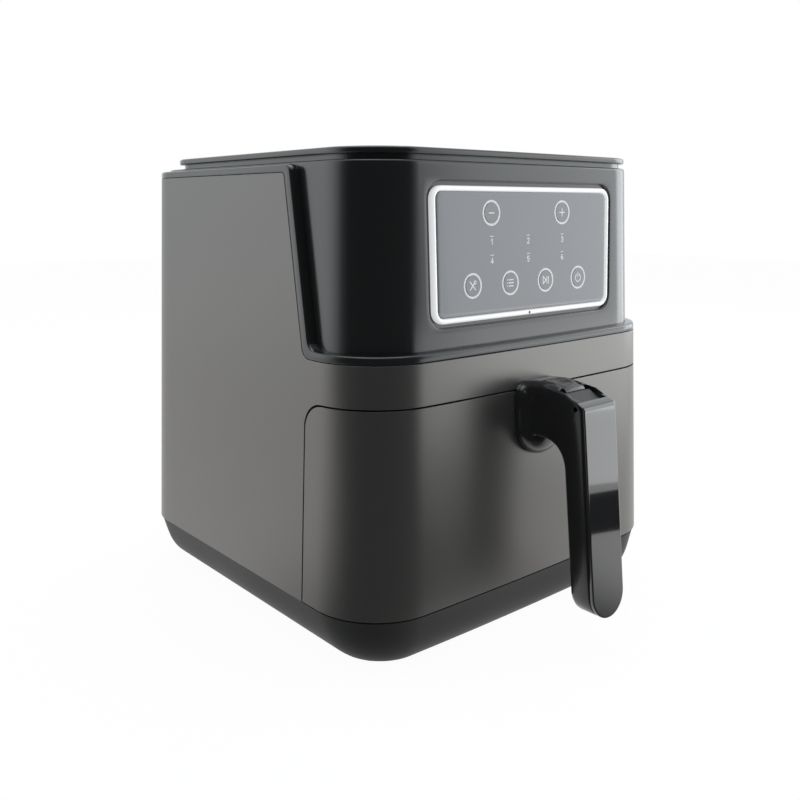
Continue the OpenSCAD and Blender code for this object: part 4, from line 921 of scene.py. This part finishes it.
class FRYER_OT_base(bpy.types.Operator):
    """Black base tray, drawn in towards its foot, and its four rubber feet"""
    bl_idname = "fryer.base"
    bl_label = "Base and feet"

    def execute(self, context):
        kind, value = columns([0, 16, 32, 48, 64, 78], CORNER_FINE, [-92, -60, -20, 20, 60, 90], REAR_FINE,
            [88, 60, 30, 0])
        foot, floor = base_draw(FOOT_H), FOOT_H + 2.6
        rise = FOOT_H + (BASE_LIP - FOOT_H) * np.linspace(0, 1, 16) ** 1.6
        levels = [(FOOT_H, foot + 60), (FOOT_H, foot + 14), (FOOT_H, foot + 1.2), (FOOT_H + 0.35, foot + 0.25)]
        levels += [(z, base_draw(z)) for z in rise[1:-1]]
        levels += [(BASE_LIP - 0.35, base_draw(BASE_LIP)), (BASE_LIP - 0.25, 1.9), (BASE_LIP, 2.2), (BASE_LIP, 3.4),
            (BASE_LIP - 6, 5.4), (20, base_draw(20) + 2.8), (floor, foot + 8), (floor, foot + 40)]
        z, ins = np.array(levels).T[:, :, None]
        # further in than the corners allow, the ring keeps its shape and only scales towards the middle
        most, reach = 30.0, 110.0
        limit = np.minimum(ins, most)
        x, y = on_housing(kind, value, z, limit)
        pull = 1 - (ins - limit) / reach
        # low down the front is brought forward, fully from 110 ahead of the middle and not at all within 60
        low = np.clip((SEAM_Z - z) / (SEAM_Z - FOOT_H), 0, 1)
        y = y - 3.6 * low ** 2 * np.clip((-y - 60) / 50, 0, 1)
        rings = both_halves(x * pull, y * pull, np.broadcast_to(z, x.shape))
        s = Shape().grid(rings, closed=True).fan(rings[0], [0, 0, FOOT_H], flip=True).fan(rings[-1], [0, 0, floor])
        base = build("base", s, "housing", "matte_black", ["base_tray"], sharp=50)
        carve(base, [self.openings()])
        smooth(base.data, 50)
        a = np.linspace(0, 2 * np.pi, 40, endpoint=False)
        r, z = np.array([(0.001, 1.6), (3.9, 1.6), (4.2, 1.3), (4.2, 0.3), (4.5, 0.0), (8.0, 0.0), (8.7, 0.25),
            (9.0, 0.9), (9.0, 3.9), (8.6, 4.0), (0.001, 4.0)]).T[:, :, None]
        feet = Shape()
        for x, y in centres_of_four("rubber_feet", 9):
            feet.grid(np.stack([x + r * np.cos(a), y + r * np.sin(a), z + 0 * a], -1), closed=True)
        build("feet", feet, "housing", "rubber", ["rubber_feet"])
        return {"FINISHED"}

    def openings(self):
        """Cutter for the floor's air slots, the screw wells under the posts and the hole for the cord gland."""
        s = Shape()
        slot = np.vstack([arc_points(0, 5, 2, 0, 180, 8), arc_points(0, -5, 2, 180, 360, 8)])
        slots = np.stack(np.meshgrid(np.arange(-5, 6) * 14.0, np.arange(-2, 3) * 26.0 + 10), -1).reshape(-1, 2)
        well, wells = arc_points(0, 0, 3.8, 0, 345, 24), centres_of_four("base_screws", 3.7)
        for outline, centres, low, high in ((slot, slots, 3.0, 7.4), (well, wells, 2.6, 5.8)):
            for centre in centres:
                ring = outline + centre
                s.solid([np.column_stack([ring, np.full(len(ring), z)]) for z in (low, high)])
        (x0, y0, z0), (x1, y1, z1) = node_box("cord_gland")
        x, z = arc_points((x0 + x1) / 2, (z0 + z1) / 2, 6.3, 0, 345, 24).T
        return s.solid([np.column_stack([x, np.full(24, y - SHIFT), z]) for y in (y0 - 4, y1 + 3)], flip=True)


# ------------------------------------------------------------------ pan, basket and rear fittings
STRAIGHT, BEND = 16, 10                  # steps along half a side of a soft square, and along half of a corner's arc
RING = 8 * (STRAIGHT + BEND)             # points round it


def soft_square(half, r, inset, z, reach=math.inf):
    """Rings of a square with rounded corners, one for each inset and level.

    Each side runs straight from its middle for STRAIGHT steps and then takes half of the corner's arc in BEND
    steps, in both directions. reach stops the rings short at the rear.
    """
    h = half - inset[:, None]
    bend = np.maximum(r - inset[:, None], 0.5)
    k = np.arange(-STRAIGHT - BEND, STRAIGHT + BEND)
    along = np.minimum(np.abs(k) / STRAIGHT, 1)[None]
    turn = np.radians(45 * np.maximum(np.abs(k) - STRAIGHT, 0) / BEND)[None]
    u = np.sign(k) * ((h - bend) * along + bend * np.sin(turn))
    v = h - bend + bend * np.cos(turn)
    x = np.concatenate([u, v, -u, -v], 1)
    y = np.minimum(np.concatenate([-v, u, v, -u], 1), reach)
    return np.stack([x, y, np.broadcast_to(z[:, None], x.shape)], -1)


def vessel_profile(floor, top, thick, bend, out, rim):
    """A pressed vessel's section as (inset, level): the floor's outer bend, wall, rolled rim, and back inside."""
    a = np.radians(np.linspace(0, 90, 9))
    foot = np.column_stack([bend - bend * np.sin(a), floor + bend - bend * np.cos(a)])
    low = top - rim
    sides = [(0, floor + bend + 22), (0, floor + bend + 50), (0, low - 14), (0, low - 1.2), (-0.35, low - 0.35),
        (-1.2, low), (-out + 0.8, low), (-out + 0.22, low + 0.22), (-out, low + rim / 2), (-out + 0.22, top - 0.22),
        (-out + 0.8, top), (-0.3, top), (thick - 0.35, top - 0.3), (thick, top - 1.0), (thick, low - 14),
        (thick, floor + bend + 50), (thick, floor + bend + 22)]
    inner = bend - thick
    inside = np.column_stack([bend - inner * np.cos(a), floor + bend - inner * np.sin(a)])
    return np.vstack([foot, sides, inside])


class FRYER_OT_pan(bpy.types.Operator):
    """Pressed pan of the drawer, with a bent floor edge, a raised panel in its floor and a rolled flange"""
    bl_idname = "fryer.pan"
    bl_label = "Pan"

    def execute(self, context):
        (x0, y0, z0), (x1, y1, z1) = node_box("pan")
        sheet, flange, raised = 1.2, 7.0, 0.8
        middle = y0 + (x1 - x0) / 2
        panel = np.array([(33, z0 + raised), (28.6, z0 + raised), (27.4, z0 + 0.55), (26.6, z0 + 0.1), (25.6, z0),
            (17, z0)])
        line = vessel_profile(z0, z1, sheet, 10.0, flange, 1.5)
        line = np.vstack([panel, line, panel[::-1] + [0, sheet]])
        rings = soft_square((x1 - x0) / 2 - flange, 38.0, line[:, 0], line[:, 1], y1 - middle)
        rings[..., 1] += middle
        s = Shape().grid(rings, closed=True).fan(rings[0], [0, middle, z0 + raised], flip=True)
        s.fan(rings[-1], [0, middle, z0 + 2.0])
        build("pan_pressed", s, "drawer", "coated_pan", ["pan"], sharp=60, place=False)
        return {"FINISHED"}


class FRYER_OT_basket(bpy.types.Operator):
    """Pressed basket with a rolled rim and a floor of round holes with softened edges"""
    bl_idname = "fryer.basket"
    bl_label = "Basket"

    def execute(self, context):
        (x0, y0, z0), (x1, y1, z1) = node_box("basket")
        middle, over, pitch, hole, soft, n = (y0 + y1) / 2, 5.0, 14.0, 2.6, 0.35, 6

        def flat(outline, z):
            return np.column_stack([outline, np.full(len(outline), z)])

        def square(steps, half):
            """A square's outline from the run of places along one side, whose end the next side begins with."""
            fixed = np.full(len(steps), half)
            return np.column_stack([np.concatenate([steps, fixed, -steps, -fixed]),
                np.concatenate([-fixed, steps, fixed, -steps])])
        # the hole field is a square of cells, whose edge has as many points as a ring of the wall
        line = vessel_profile(z0, z1, 1.0, 8.0, over, 1.5)
        field = square(np.arange(-RING // 8, RING // 8) * pitch / 4, (n + 0.5) * pitch)
        wall_rings = soft_square((x1 - x0) / 2 - over, 34.0, line[:, 0], line[:, 1])
        s = Shape().grid(np.concatenate([flat(field, z0)[None], wall_rings, flat(field, z0 + 1)[None]]), closed=True)
        i, j = (v.ravel() for v in np.meshgrid(np.arange(-n, n + 1), np.arange(-n, n + 1)))
        places = flat(np.column_stack([i, j]) * pitch, 0.0)
        holed = np.abs(i) + np.abs(j) < 2 * n - 1
        cell = square(np.arange(4) * pitch / 4 - pitch / 2, pitch / 2)
        # the circle starts below the cell's first corner, so that their points pair off
        a = np.radians(225 + 22.5 * np.arange(16))
        circle = np.column_stack([np.cos(a), np.sin(a)])
        one = np.stack([flat(cell, z0), flat(circle * (hole + soft), z0), flat(circle * hole, z0 + 0.3),
            flat(circle * hole, z0 + 0.7), flat(circle * (hole + soft), z0 + 1), flat(cell, z0 + 1)])
        s.copies(one[None] + places[holed][:, None, None], closed=True, flip=True)
        for place in places[~holed]:
            s.cap(flat(cell, z0) + place, flip=True).cap(flat(cell, z0 + 1) + place)
        for points in s.points:
            points[:, 1] += middle
        build("basket_pressed", s, "basket_unit", "coated_pan", ["basket"], sharp=60, place=False)
        return {"FINISHED"}


class FRYER_OT_rear_fittings(bpy.types.Operator):
    """Louvred outlet grille and the gland where the cord would leave"""
    bl_idname = "fryer.rear_fittings"
    bl_label = "Rear grille and gland"

    def execute(self, context):
        self.grille(*node_box("vent_grille"))
        self.gland(*node_box("cord_gland"))
        return {"FINISHED"}

    def grille(self, low, high):
        """A rounded frame that lies against the leaning rear, four slanted slats and three upright bars."""
        (x0, _, z0), (x1, _, z1) = low, high
        rim, back = 1.8, -2.3
        rows = []
        for inset, deep in ((0, back), (0, -0.75), (0.35, -0.4), (1.5, -0.4), (rim, -0.7), (rim, back), (0, back)):
            x, z = rounded_loop(x1 - x0 - 2 * inset, z1 - z0 - 2 * inset, max(1.6 - inset, 0.3), 5).T
            z = z + (z0 + z1) / 2
            rows.append(np.column_stack([x, rear_y(z) + deep, z]))
        s = Shape().grid(np.stack(rows), closed=True, flip=True)
        bays = (z1 - z0 - 2 * rim) / 5
        slat = np.array([(back, 0.95), (back, 0.25), (-0.95, -0.75), (-0.7, -0.6), (-0.7, -0.2)])
        for k in range(4):
            z = z0 + rim + bays * (k + 1)
            s.add(side_prism(slat + [rear_y(z), z], (x1 - x0) / 2 - 1.6))
        for x in (-24.2, 0, 24.2):
            y = rear_y(z1)
            s.add(block((x - 1.5, y - 2.2, z0 + 1.6), (x + 1.5, y - 0.62, z1 - 1.6)))
        build("rear_grille", s, "housing", "matte_black", ["vent_grille"])

    def gland(self, low, high):
        """A flanged sleeve turned round the cord's line, with its rim drawn in by 0.35 * (1 + cos 16a) / 2."""
        (x0, y0, z0), (x1, y1, z1) = low, high
        line = np.array([(3.6, y1 - 1.0), (3.8, y1 - 0.45), (4.3, y1 - 0.1), (5.0, y1), (7.6, y1), (8.5, y1 - 0.3),
            (8.95, y1 - 0.9), (9.0, y1 - 1.9), (8.7, y1 - 2.4), (6.1, y1 - 2.4), (6.1, y0 + 5), (7.3, y0 + 5),
            (7.6, y0 + 4.6), (7.6, y0 + 0.4), (7.2, y0), (4.0, y0), (3.6, y0 + 0.4), (3.6, y1 - 1.0)])
        a = np.linspace(0, 2 * np.pi, 96, endpoint=False)[None]
        r, y = line.T[:, :, None]
        r = r - 0.35 * (r > 8.4) * (0.5 + 0.5 * np.cos(16 * a))
        points = np.stack([(x0 + x1) / 2 + r * np.cos(a), np.broadcast_to(y, r.shape),
            (z0 + z1) / 2 + r * np.sin(a)], -1)
        build("gland", Shape().grid(points, closed=True), "housing", "rubber", ["cord_gland"],
            place=False)


# ------------------------------------------------------------------ handle
GRIP_TOP, GRIP_FOOT = 160.0, 25.8
GRIP_OUT = 50.1                          # from the drawer front to the grip's front plane, at the grip's top
ROOT_OFF = 0.45                          # open line between the drawer front and the handle's root
BRACKET_Z = 157.8                        # underside of the bracket that carries the handle
WELL_Z, TRACK_Z, CAP_Z = 153.5, 167.1, 167.15    # the button's well, the cap's track, and the cap's underside
PIN_Z = 158.0                            # level of the release button's pin
SOFT_EDGE, FINE_EDGE = 0.0006, 0.0005    # rounding of the moulded edges, in metres


def grip_y(z):
    """Depth of the grip's front plane at a level."""
    lean = math.tan(bpy.context.scene.fryer_handle.lean)
    return front_y(GRIP_TOP) - GRIP_OUT - (GRIP_TOP - z) * lean


def half_section(half, r_front, r_back):
    """Right half of a rounded section, from the middle of its front to the middle of its back: (x, weight of the
    back edge, distance from that edge towards the other)."""
    q = np.radians(np.linspace(90, 0, 5))
    rows = [(0.0, 0, 0.0), (half * 0.42, 0, 0.0), (half - r_front - 0.5, 0, 0.0)]
    rows += [(half - r_front + r_front * math.cos(a), 0, r_front - r_front * math.sin(a)) for a in q]
    rows += [(half, 0.5, 0.0)]
    rows += [(half - r_back + r_back * math.cos(a), 1, -(r_back - r_back * math.sin(a))) for a in q[::-1]]
    rows += [(half * 0.5, 1, 0.0), (0.0, 1, 0.0)]
    return np.array(rows)


def section_ring(half, outer, inner, r_front, r_back):
    """A closed rounded section between an outer and an inner point of the side view, given as (y, z)."""
    h = half_section(half, r_front, r_back)
    outer, inner = np.asarray(outer, float), np.asarray(inner, float)
    along = (inner - outer) / np.linalg.norm(inner - outer)
    place = outer + (inner - outer) * h[:, 1:2] + along * h[:, 2:3]
    right = np.column_stack([h[:, 0], place])
    return np.vstack([right, (right * [-1, 1, 1])[-2:0:-1]])


class FRYER_OT_handle(bpy.types.Operator):
    """Handle: root collar, arm and grip in one smooth form, its glossy front strip, guard cap and release button"""
    bl_idname = "fryer.handle"
    bl_label = "Handle"

    def execute(self, context):
        g = context.scene.fryer_handle
        half, thick, strip = g.width / MM / 2, g.thickness / MM, g.strip / MM
        rf, rb = g.front_round / MM, g.back_round / MM
        root = front_y(BRACKET_Z)

        def front_at(z):
            return grip_y(z) + strip, z
        # the side view, from the root out along the arm and down the bend, as pairs of points below and above
        bend_z, bend_r = 117.0, 17.6
        inner = [(front_y(131) - ROOT_OFF, 131.5), (root - 3.5, 132.9), (root - 8, 134.0), (root - 13, 134.6)]
        inner += arc_points(grip_y(bend_z) + thick + bend_r, bend_z, bend_r, 90, 180, 9).tolist()
        outer = [(front_y(168.7) - ROOT_OFF, 168.7), (root - 3.5, 169.4), (root - 8, 170.0), (root - 16, 170.1),
            (root - 24, 169.3), (root - 30.5, 167.8), (root - 36, 166.4), (root - 41.3, 163.7), (root - 44.7, 162.1)]
        outer += [front_at(z) for z in (158.2, 149, 137, 122)]
        halves = [21.6, 18.6, 16.8, 15.8] + [half] * 9
        upper = [9.0, 8.5, 7.5, 6.2, 5.2, 3.4, 2.2, 1.6, 1.4] + [rf] * 4
        rings = [section_ring(w, o, i, r, rb) for w, o, i, r in zip(halves, outer, inner, upper)]
        rings += [section_ring(half, front_at(z), (grip_y(z) + thick, z), rf, rb)
            for z in (100, 85, 70, 55, GRIP_FOOT + half)]
        s = Shape().grid(np.array(rings), closed=True).cap(rings[0], flip=True)
        self.foot(s, half, strip, thick - strip, rf, rb)
        body = build("handle_arm", s, "basket_unit", "gloss_black", ["handle_body"])
        carve(body, [self.collar()], "UNION")
        # the button's well, the ledge round it, the cap's track, the bracket's slot, and the button tail's channel
        well, rear = grip_y(GRIP_TOP) + strip + 1.2, grip_y(GRIP_TOP) + 21
        carve(body, [block((-x, y0, z0), (x, y1, z1)) for x, y0, y1, z0, z1 in (
            (12.2, well, rear, WELL_Z, 190), (14.1, well - 0.4, rear + 0.6, 163.3, 195),
            (9.6, -300, rear + 17.4, TRACK_Z, 200), (14.05, root - 8.05, 0, BRACKET_Z - 0.05, BRACKET_Z + 1.55),
            (4, rear - 1, root - 6, WELL_Z, 164))])
        round_edges(body, SOFT_EDGE, angle=42)
        self.front_strip(half, strip)
        self.button(well + 3.1, rear, root - 11.8)
        self.guard(rear, rear + 17)
        return {"FINISHED"}

    def foot(self, s, half, front, thick, rf, rb):
        """The lower end: the half section turned through half a circle under the grip, sheared along its lean."""
        across, back, off = half_section(half, rf, rb).T[:, None]
        a = np.radians(np.linspace(0, 180, 25))[:, None]
        z = GRIP_FOOT + half - across * np.sin(a)
        s.grid(np.stack([across * np.cos(a), grip_y(z) + (front + back * thick + off), z], -1))

    def collar(self):
        """The root's collar: a round-bottomed outline drawn in by the cosine and out by the sine of one angle."""
        centre, radius = np.array([0, 141.0]), 21.5
        lower = arc_points(*centre, radius, 180, 360, 33)
        upper = np.array([(radius, 150), (radius, 158.5), (20.4, 163.5), (17, 167), (11.5, 168.4), (0, 168.6)])
        ring = np.vstack([lower, upper, (upper * [-1, 1])[-2::-1]])
        rows = [np.column_stack([ring[:, 0], front_y(ring[:, 1]) - ROOT_OFF, ring[:, 1]])]
        for a in np.radians([0, 12, 24, 35, 45, 54, 62, 69, 75]):
            x, z = (centre + (ring - centre) * math.cos(a)).T
            rows.append(np.column_stack([x, front_y(z) - 1.2 - 12.5 * math.sin(a), z]))
        return Shape().solid(rows)

    def front_strip(self, half, strip):
        """The glossy strip: the grip's outline as a thin plate whose upper end rolls back over the top."""
        gap, rf, rb = 0.15, 0.7, 0.25
        rings = [section_ring(half, (grip_y(z), z), (grip_y(z) + strip - gap, z), rf, rb)
            for z in (GRIP_FOOT + half, 60, 80, 100, 120, 140, 152, 157.2, 157.8)]
        face = grip_y(160)
        back = face + strip
        rings += [section_ring(half, outer, inner, 0.6, 0.2) for outer, inner in (
            ((face + 0.05, 158.6), (back - 0.1, 158.0)), ((face + 0.35, 159.3), (back - 0.05, 158.4)),
            ((face + 0.9, 159.9), (back + 0.1, 158.7)), ((face + 1.6, 160.3), (back + 0.4, 159.0)),
            ((face + 2.2, 160.6), (back + 0.7, 159.3)), ((face + 4.9, 161.9), (face + 4.7, 160.4)),
            ((face + 5.4, 162.0), (face + 5.3, 160.8)))]
        s = Shape().grid(np.array(rings), closed=True, flip=True).cap(rings[-1])
        self.foot(s, half, 0.0, strip - gap, rf, rb)
        build("handle_gloss_strip", s, "basket_unit", "strip_gloss", ["handle_strip"])

    def button(self, pin_y, rear, press_y):
        """Release button over the well, with the tail that runs back from it to the latch."""
        side = [(pin_y - 1.2, 2.2), (pin_y + 1.2, 3.0), (pin_y + 4, 3.9), (rear - 4, 7.3), (rear - 2, 7.3),
            (rear - 1.3, 6.6), (rear - 1.3, 4.4), (pin_y + 2, -1.6), (pin_y - 1.8, -1.6), (pin_y - 2.5, 0.0)]
        tail = [(rear - 6, 2.8), (rear - 6, 5.8), (press_y + 3, 5.4), (press_y + 3, 2.6)]
        plate, tail = (side_prism(np.array(outline) + [0, PIN_Z], half)
            for outline, half in ((side, 11.6), (tail, 3.0)))
        button = build("button", plate, "button", "button_grey", ["release_button"])
        carve(button, [tail], "UNION")
        round_edges(button, SOFT_EDGE, angle=25)

    def guard(self, front, rear):
        """The sliding cap: its side view carried across, crowned over its width by 0.5 * (1 - (x / half) squared),
        with a finger dish of an elliptical bowl's depth, and a lip that dips into the well."""
        top = [(rear, 1.9), (rear - 0.5, 2.6), (rear - 1.6, 2.95), (rear - 4, 2.95), (rear - 6.5, 2.75),
            (rear - 9, 2.45), (rear - 11, 2.0), (rear - 13, 1.4), (front + 2.0, 0.8), (front + 0.2, 0.45),
            (front - 0.7, 0.15), (front - 1.2, -0.4), (front - 2.2, -1.6)]
        low = [(front - 2.0, -1.75), (front - 0.6, -1.75), (front + 0.7, -1.5), (front + 1.3, 0.2), (rear - 0.4, 0.2)]
        side = np.array(top + low)
        half, u = 9.3, np.linspace(-1, 1, 15)
        x, y, z = np.broadcast_arrays(half * np.sign(u) * (1 - (1 - np.abs(u)) ** 1.6), side[:, :1], side[:, 1:])
        on_top = (np.arange(len(side)) < len(top) - 1)[:, None] & (z > -1.0)
        crown = 0.5 * (1 - (x / half) ** 2)
        dish = 1.7 * np.clip(1 - ((y - rear + 7.0) / 5.5) ** 2 - (x / 6.5) ** 2, 0, 1)
        points = np.stack([x, y, CAP_Z + z + np.where(on_top, crown - dish, 0.0)], -1)
        s = Shape().grid(points[np.r_[:len(side), 0]]).cap(points[:, 0], flip=True).cap(points[:, -1])
        cap = build("guard_cap", s, "guard", "gloss_black", ["button_guard"], sharp=50)
        round_edges(cap, FINE_EDGE, segments=2, angle=50)


# ------------------------------------------------------------------ stage
COOL_WHITE = (0.94, 0.98, 1.0)


class FRYER_OT_stage(bpy.types.Operator):
    """Pale floor, white surroundings, soft lights, dark cards, a dark sheet of painted floor shade, and the camera"""
    bl_idname = "fryer.stage"
    bl_label = "Stage"

    def execute(self, context):
        st = context.scene.fryer_studio
        x, y = np.meshgrid(*[np.linspace(-4000, 4000, 9)] * 2)
        self.floor_finish(context.scene.fryer_colours.floor)
        floor = build("floor", Shape().grid(np.stack([x, y, np.zeros_like(x)], -1)), None, "studio_floor",
            place=False)
        # name, finish, bearings of the two ends, bearings of the fades, and (radius, height) of the section
        for name, finish_name, bearing, fades, profile in (
                ("dark_flag_wall", "flag_wall", (-124, 36), (-124, -84, 14, 42),
                    [(0.95, 0.0), (0.95, 0.6), (0.95, 1.25)]),
                # the sheet lying on the floor is painted shade: to reflections it darkens the floor on the camera
                # side, where the floor lies in shade
                ("painted_floor_shade_sheet", "painted_floor_shade_finish", (-120, 48), (-122, -66, 5, 34), [(0.12, 0.002), (0.94, 0.002)]),
                ("dark_line", "flag_line", (10, 44), (11, 15, 38, 43), [(0.466, 0.003), (0.466, 0.044)])):
            self.flag_finish(finish_name, *fades)
            self.flag(name, finish_name, bearing, profile)
        self.world(st.room_light)
        self.lamp("left_rear_softbox", (-1.35, 1.05, 0.6), (0, 0, 0.42), (1.5, 1.2), st.side_light)
        self.lamp("right_front_softbox", (1.42, -1.02, 0.6), (0, 0, 0.4), (1.4, 1.2), st.front_light)
        self.lamp("right_softbox", (1.75, -0.35, 0.6), (0, 0, 0.35), (1.0, 1.2), st.edge_light)
        self.lamp("low_softbox", (0.48, -0.56, 0.08), (0, -0.17, 0.11), (0.62, 0.15), st.low_light)
        self.lamp("top_softbox", (0.1, 0.25, 1.9), (0, 0, 0.2), (1.4, 1.4), st.top_light)
        self.camera(st.lens)
        context.scene.view_settings.view_transform = "Standard"
        return {"FINISHED"}

    def floor_finish(self, tone):
        """A pale matt floor that shows to the camera and in reflections as an even white glow, for the most part."""
        tree, shader = new_material("studio_floor", Base_Color=(*tone, 1), Roughness=0.8, Specular_IOR_Level=0.1)
        glow = add_node(tree, "Emission", {"Color": WHITE, "Strength": 1.09})
        ray = add_node(tree, "LightPath").outputs
        mirrored = maths(tree, "MAXIMUM", ray["Is Glossy Ray"], ray["Is Transmission Ray"])
        share = maths(tree, "MULTIPLY_ADD", mirrored, 0.85, maths(tree, "MULTIPLY", ray["Is Camera Ray"], 0.88))
        mix = add_node(tree, "MixShader", {0: share, 1: shader.outputs[0], 2: glow.outputs[0]})
        feed(tree, tree.nodes["Material Output"], {"Surface": mix.outputs[0]})

    def flag_finish(self, name, start, full, fade, end):
        """Matt black that fades out by the bearing round the object towards both of its ends, and towards the
        object."""
        tree, shader = new_material(name, Base_Color=(0.01, 0.01, 0.01, 1), Roughness=0.9)
        where = add_node(tree, "TexCoord").outputs["Object"]
        swing = add_node(tree, "Mapping", {"Vector": where, "Rotation": (0, 0, math.radians(60))}).outputs["Vector"]
        turn = add_node(tree, "TexGradient", {"Vector": swing}, gradient_type="RADIAL").outputs["Fac"]
        away = add_node(tree, "VectorMath", {0: where}, operation="LENGTH").outputs["Value"]

        # the gradient, turned by 60 degrees, rises over a full turn from the bearing -150
        def ramp(value, low, high):
            return add_node(tree, "MapRange", {"Value": value, "From Min": low, "From Max": high},
                interpolation_type="SMOOTHSTEP").outputs[0]
        alpha = ramp(away, 0.13, 0.22)
        for bearings in ((start, full), (end, fade)):
            alpha = maths(tree, "MULTIPLY", alpha, ramp(turn, *((b + 150) / 360 for b in bearings)))
        feed(tree, shader, {"Alpha": alpha})

    def flag(self, name, finish_name, bearing, profile):
        """A dark sheet bent round the object: a profile of (radius, height) turned between two bearings, counted
        from the front towards the right, that only reflections see."""
        a = np.radians(np.linspace(*bearing, 25))[None, :]
        r, z = (np.array(v)[:, None] / MM for v in zip(*profile))
        sheet = Shape().grid(np.stack([r * np.sin(a), -r * np.cos(a), z + 0 * a], -1))
        piece = build(name, sheet, None, finish_name, place=False)
        piece.visible_camera = piece.visible_shadow = piece.visible_diffuse = False
        return piece

    def world(self, strength):
        """White surroundings to the camera and in reflections, that light everything else by the given strength."""
        w = bpy.context.scene.world = bpy.data.worlds.new("studio_world")
        w.use_nodes = True
        tree = w.node_tree
        ray = add_node(tree, "LightPath").outputs
        tint = add_node(tree, "Mix", {"Factor": ray["Is Camera Ray"], "A": (0.93, 0.97, 1, 1), "B": WHITE},
            data_type="RGBA")
        seen = maths(tree, "MAXIMUM", maths(tree, "MAXIMUM", ray["Is Camera Ray"], ray["Is Glossy Ray"]),
            ray["Is Transmission Ray"])
        level = add_node(tree, "MapRange", {"Value": seen, "To Min": strength, "To Max": 1.0})
        feed(tree, tree.nodes["Background"], {"Color": tint.outputs["Result"], "Strength": level.outputs[0]})

    def lamp(self, name, where, aim, size, watts):
        """A rectangular soft light at a place, aimed at a point."""
        data = bpy.data.lights.new(name, "AREA")
        data.shape = "RECTANGLE"
        data.size, data.size_y = size
        data.energy = watts
        data.color = COOL_WHITE
        lamp = bpy.data.objects.new(name, data)
        lamp.location = where
        lamp.visible_camera = False
        lamp.rotation_euler = (Vector(aim) - Vector(where)).to_track_quat("-Z", "Y").to_euler()
        bpy.context.scene.collection.objects.link(lamp)

    def camera(self, lens):
        """The camera, a little above the middle on the left front, looking down and to the right."""
        yaw, pitch = math.radians(40.44), math.radians(12.74)
        data = bpy.data.cameras.new("camera")
        data.lens = lens
        data.sensor_width = 36
        data.sensor_fit = "HORIZONTAL"
        cam = bpy.data.objects.new("camera", data)
        cam.location = (-0.4225, -0.5019 + SHIFT * MM, 0.2779)
        look = Vector((math.sin(yaw) * math.cos(pitch), math.cos(yaw) * math.cos(pitch), -math.sin(pitch)))
        cam.rotation_euler = look.to_track_quat("-Z", "Y").to_euler()
        bpy.context.scene.collection.objects.link(cam)
        bpy.context.scene.camera = cam


# ------------------------------------------------------------------ add-on
STEPS = (FRYER_OT_finishes, FRYER_OT_shell, FRYER_OT_drawer_front, FRYER_OT_trim, FRYER_OT_head, FRYER_OT_top,
    FRYER_OT_panel, FRYER_OT_marks, FRYER_OT_base, FRYER_OT_pan, FRYER_OT_basket, FRYER_OT_rear_fittings,
    FRYER_OT_handle, FRYER_OT_stage)
GROUPS_OF_SETTINGS = {"fryer_housing": HousingSizes, "fryer_panel": PanelSizes, "fryer_handle": HandleSizes,
    "fryer_colours": FinishColours, "fryer_studio": StudioSettings}


class FRYER_PT_panel(bpy.types.Panel):
    """Settings and build steps of the air fryer"""
    bl_idname = "FRYER_PT_panel"
    bl_label = "Air Fryer"
    bl_space_type = "VIEW_3D"
    bl_region_type = "UI"
    bl_category = "Air Fryer"

    def draw(self, context):
        for attribute in GROUPS_OF_SETTINGS:
            box = self.layout.box()
            group = getattr(context.scene, attribute)
            for key in group.bl_rna.properties.keys():
                if key not in ("rna_type", "name"):
                    box.prop(group, key)
        for step in STEPS:
            self.layout.operator(step.bl_idname)


def register():
    for c in (*GROUPS_OF_SETTINGS.values(), *STEPS, FRYER_PT_panel):
        bpy.utils.register_class(c)
    for attribute, group in GROUPS_OF_SETTINGS.items():
        setattr(bpy.types.Scene, attribute, bpy.props.PointerProperty(type=group))


def unregister():
    for attribute in GROUPS_OF_SETTINGS:
        delattr(bpy.types.Scene, attribute)
    for c in (FRYER_PT_panel, *STEPS[::-1], *GROUPS_OF_SETTINGS.values()):
        bpy.utils.unregister_class(c)


def main():
    register()
    for step in STEPS:
        area, name = step.bl_idname.split(".")
        getattr(getattr(bpy.ops, area), name)()


if __name__ == "__main__":
    main()
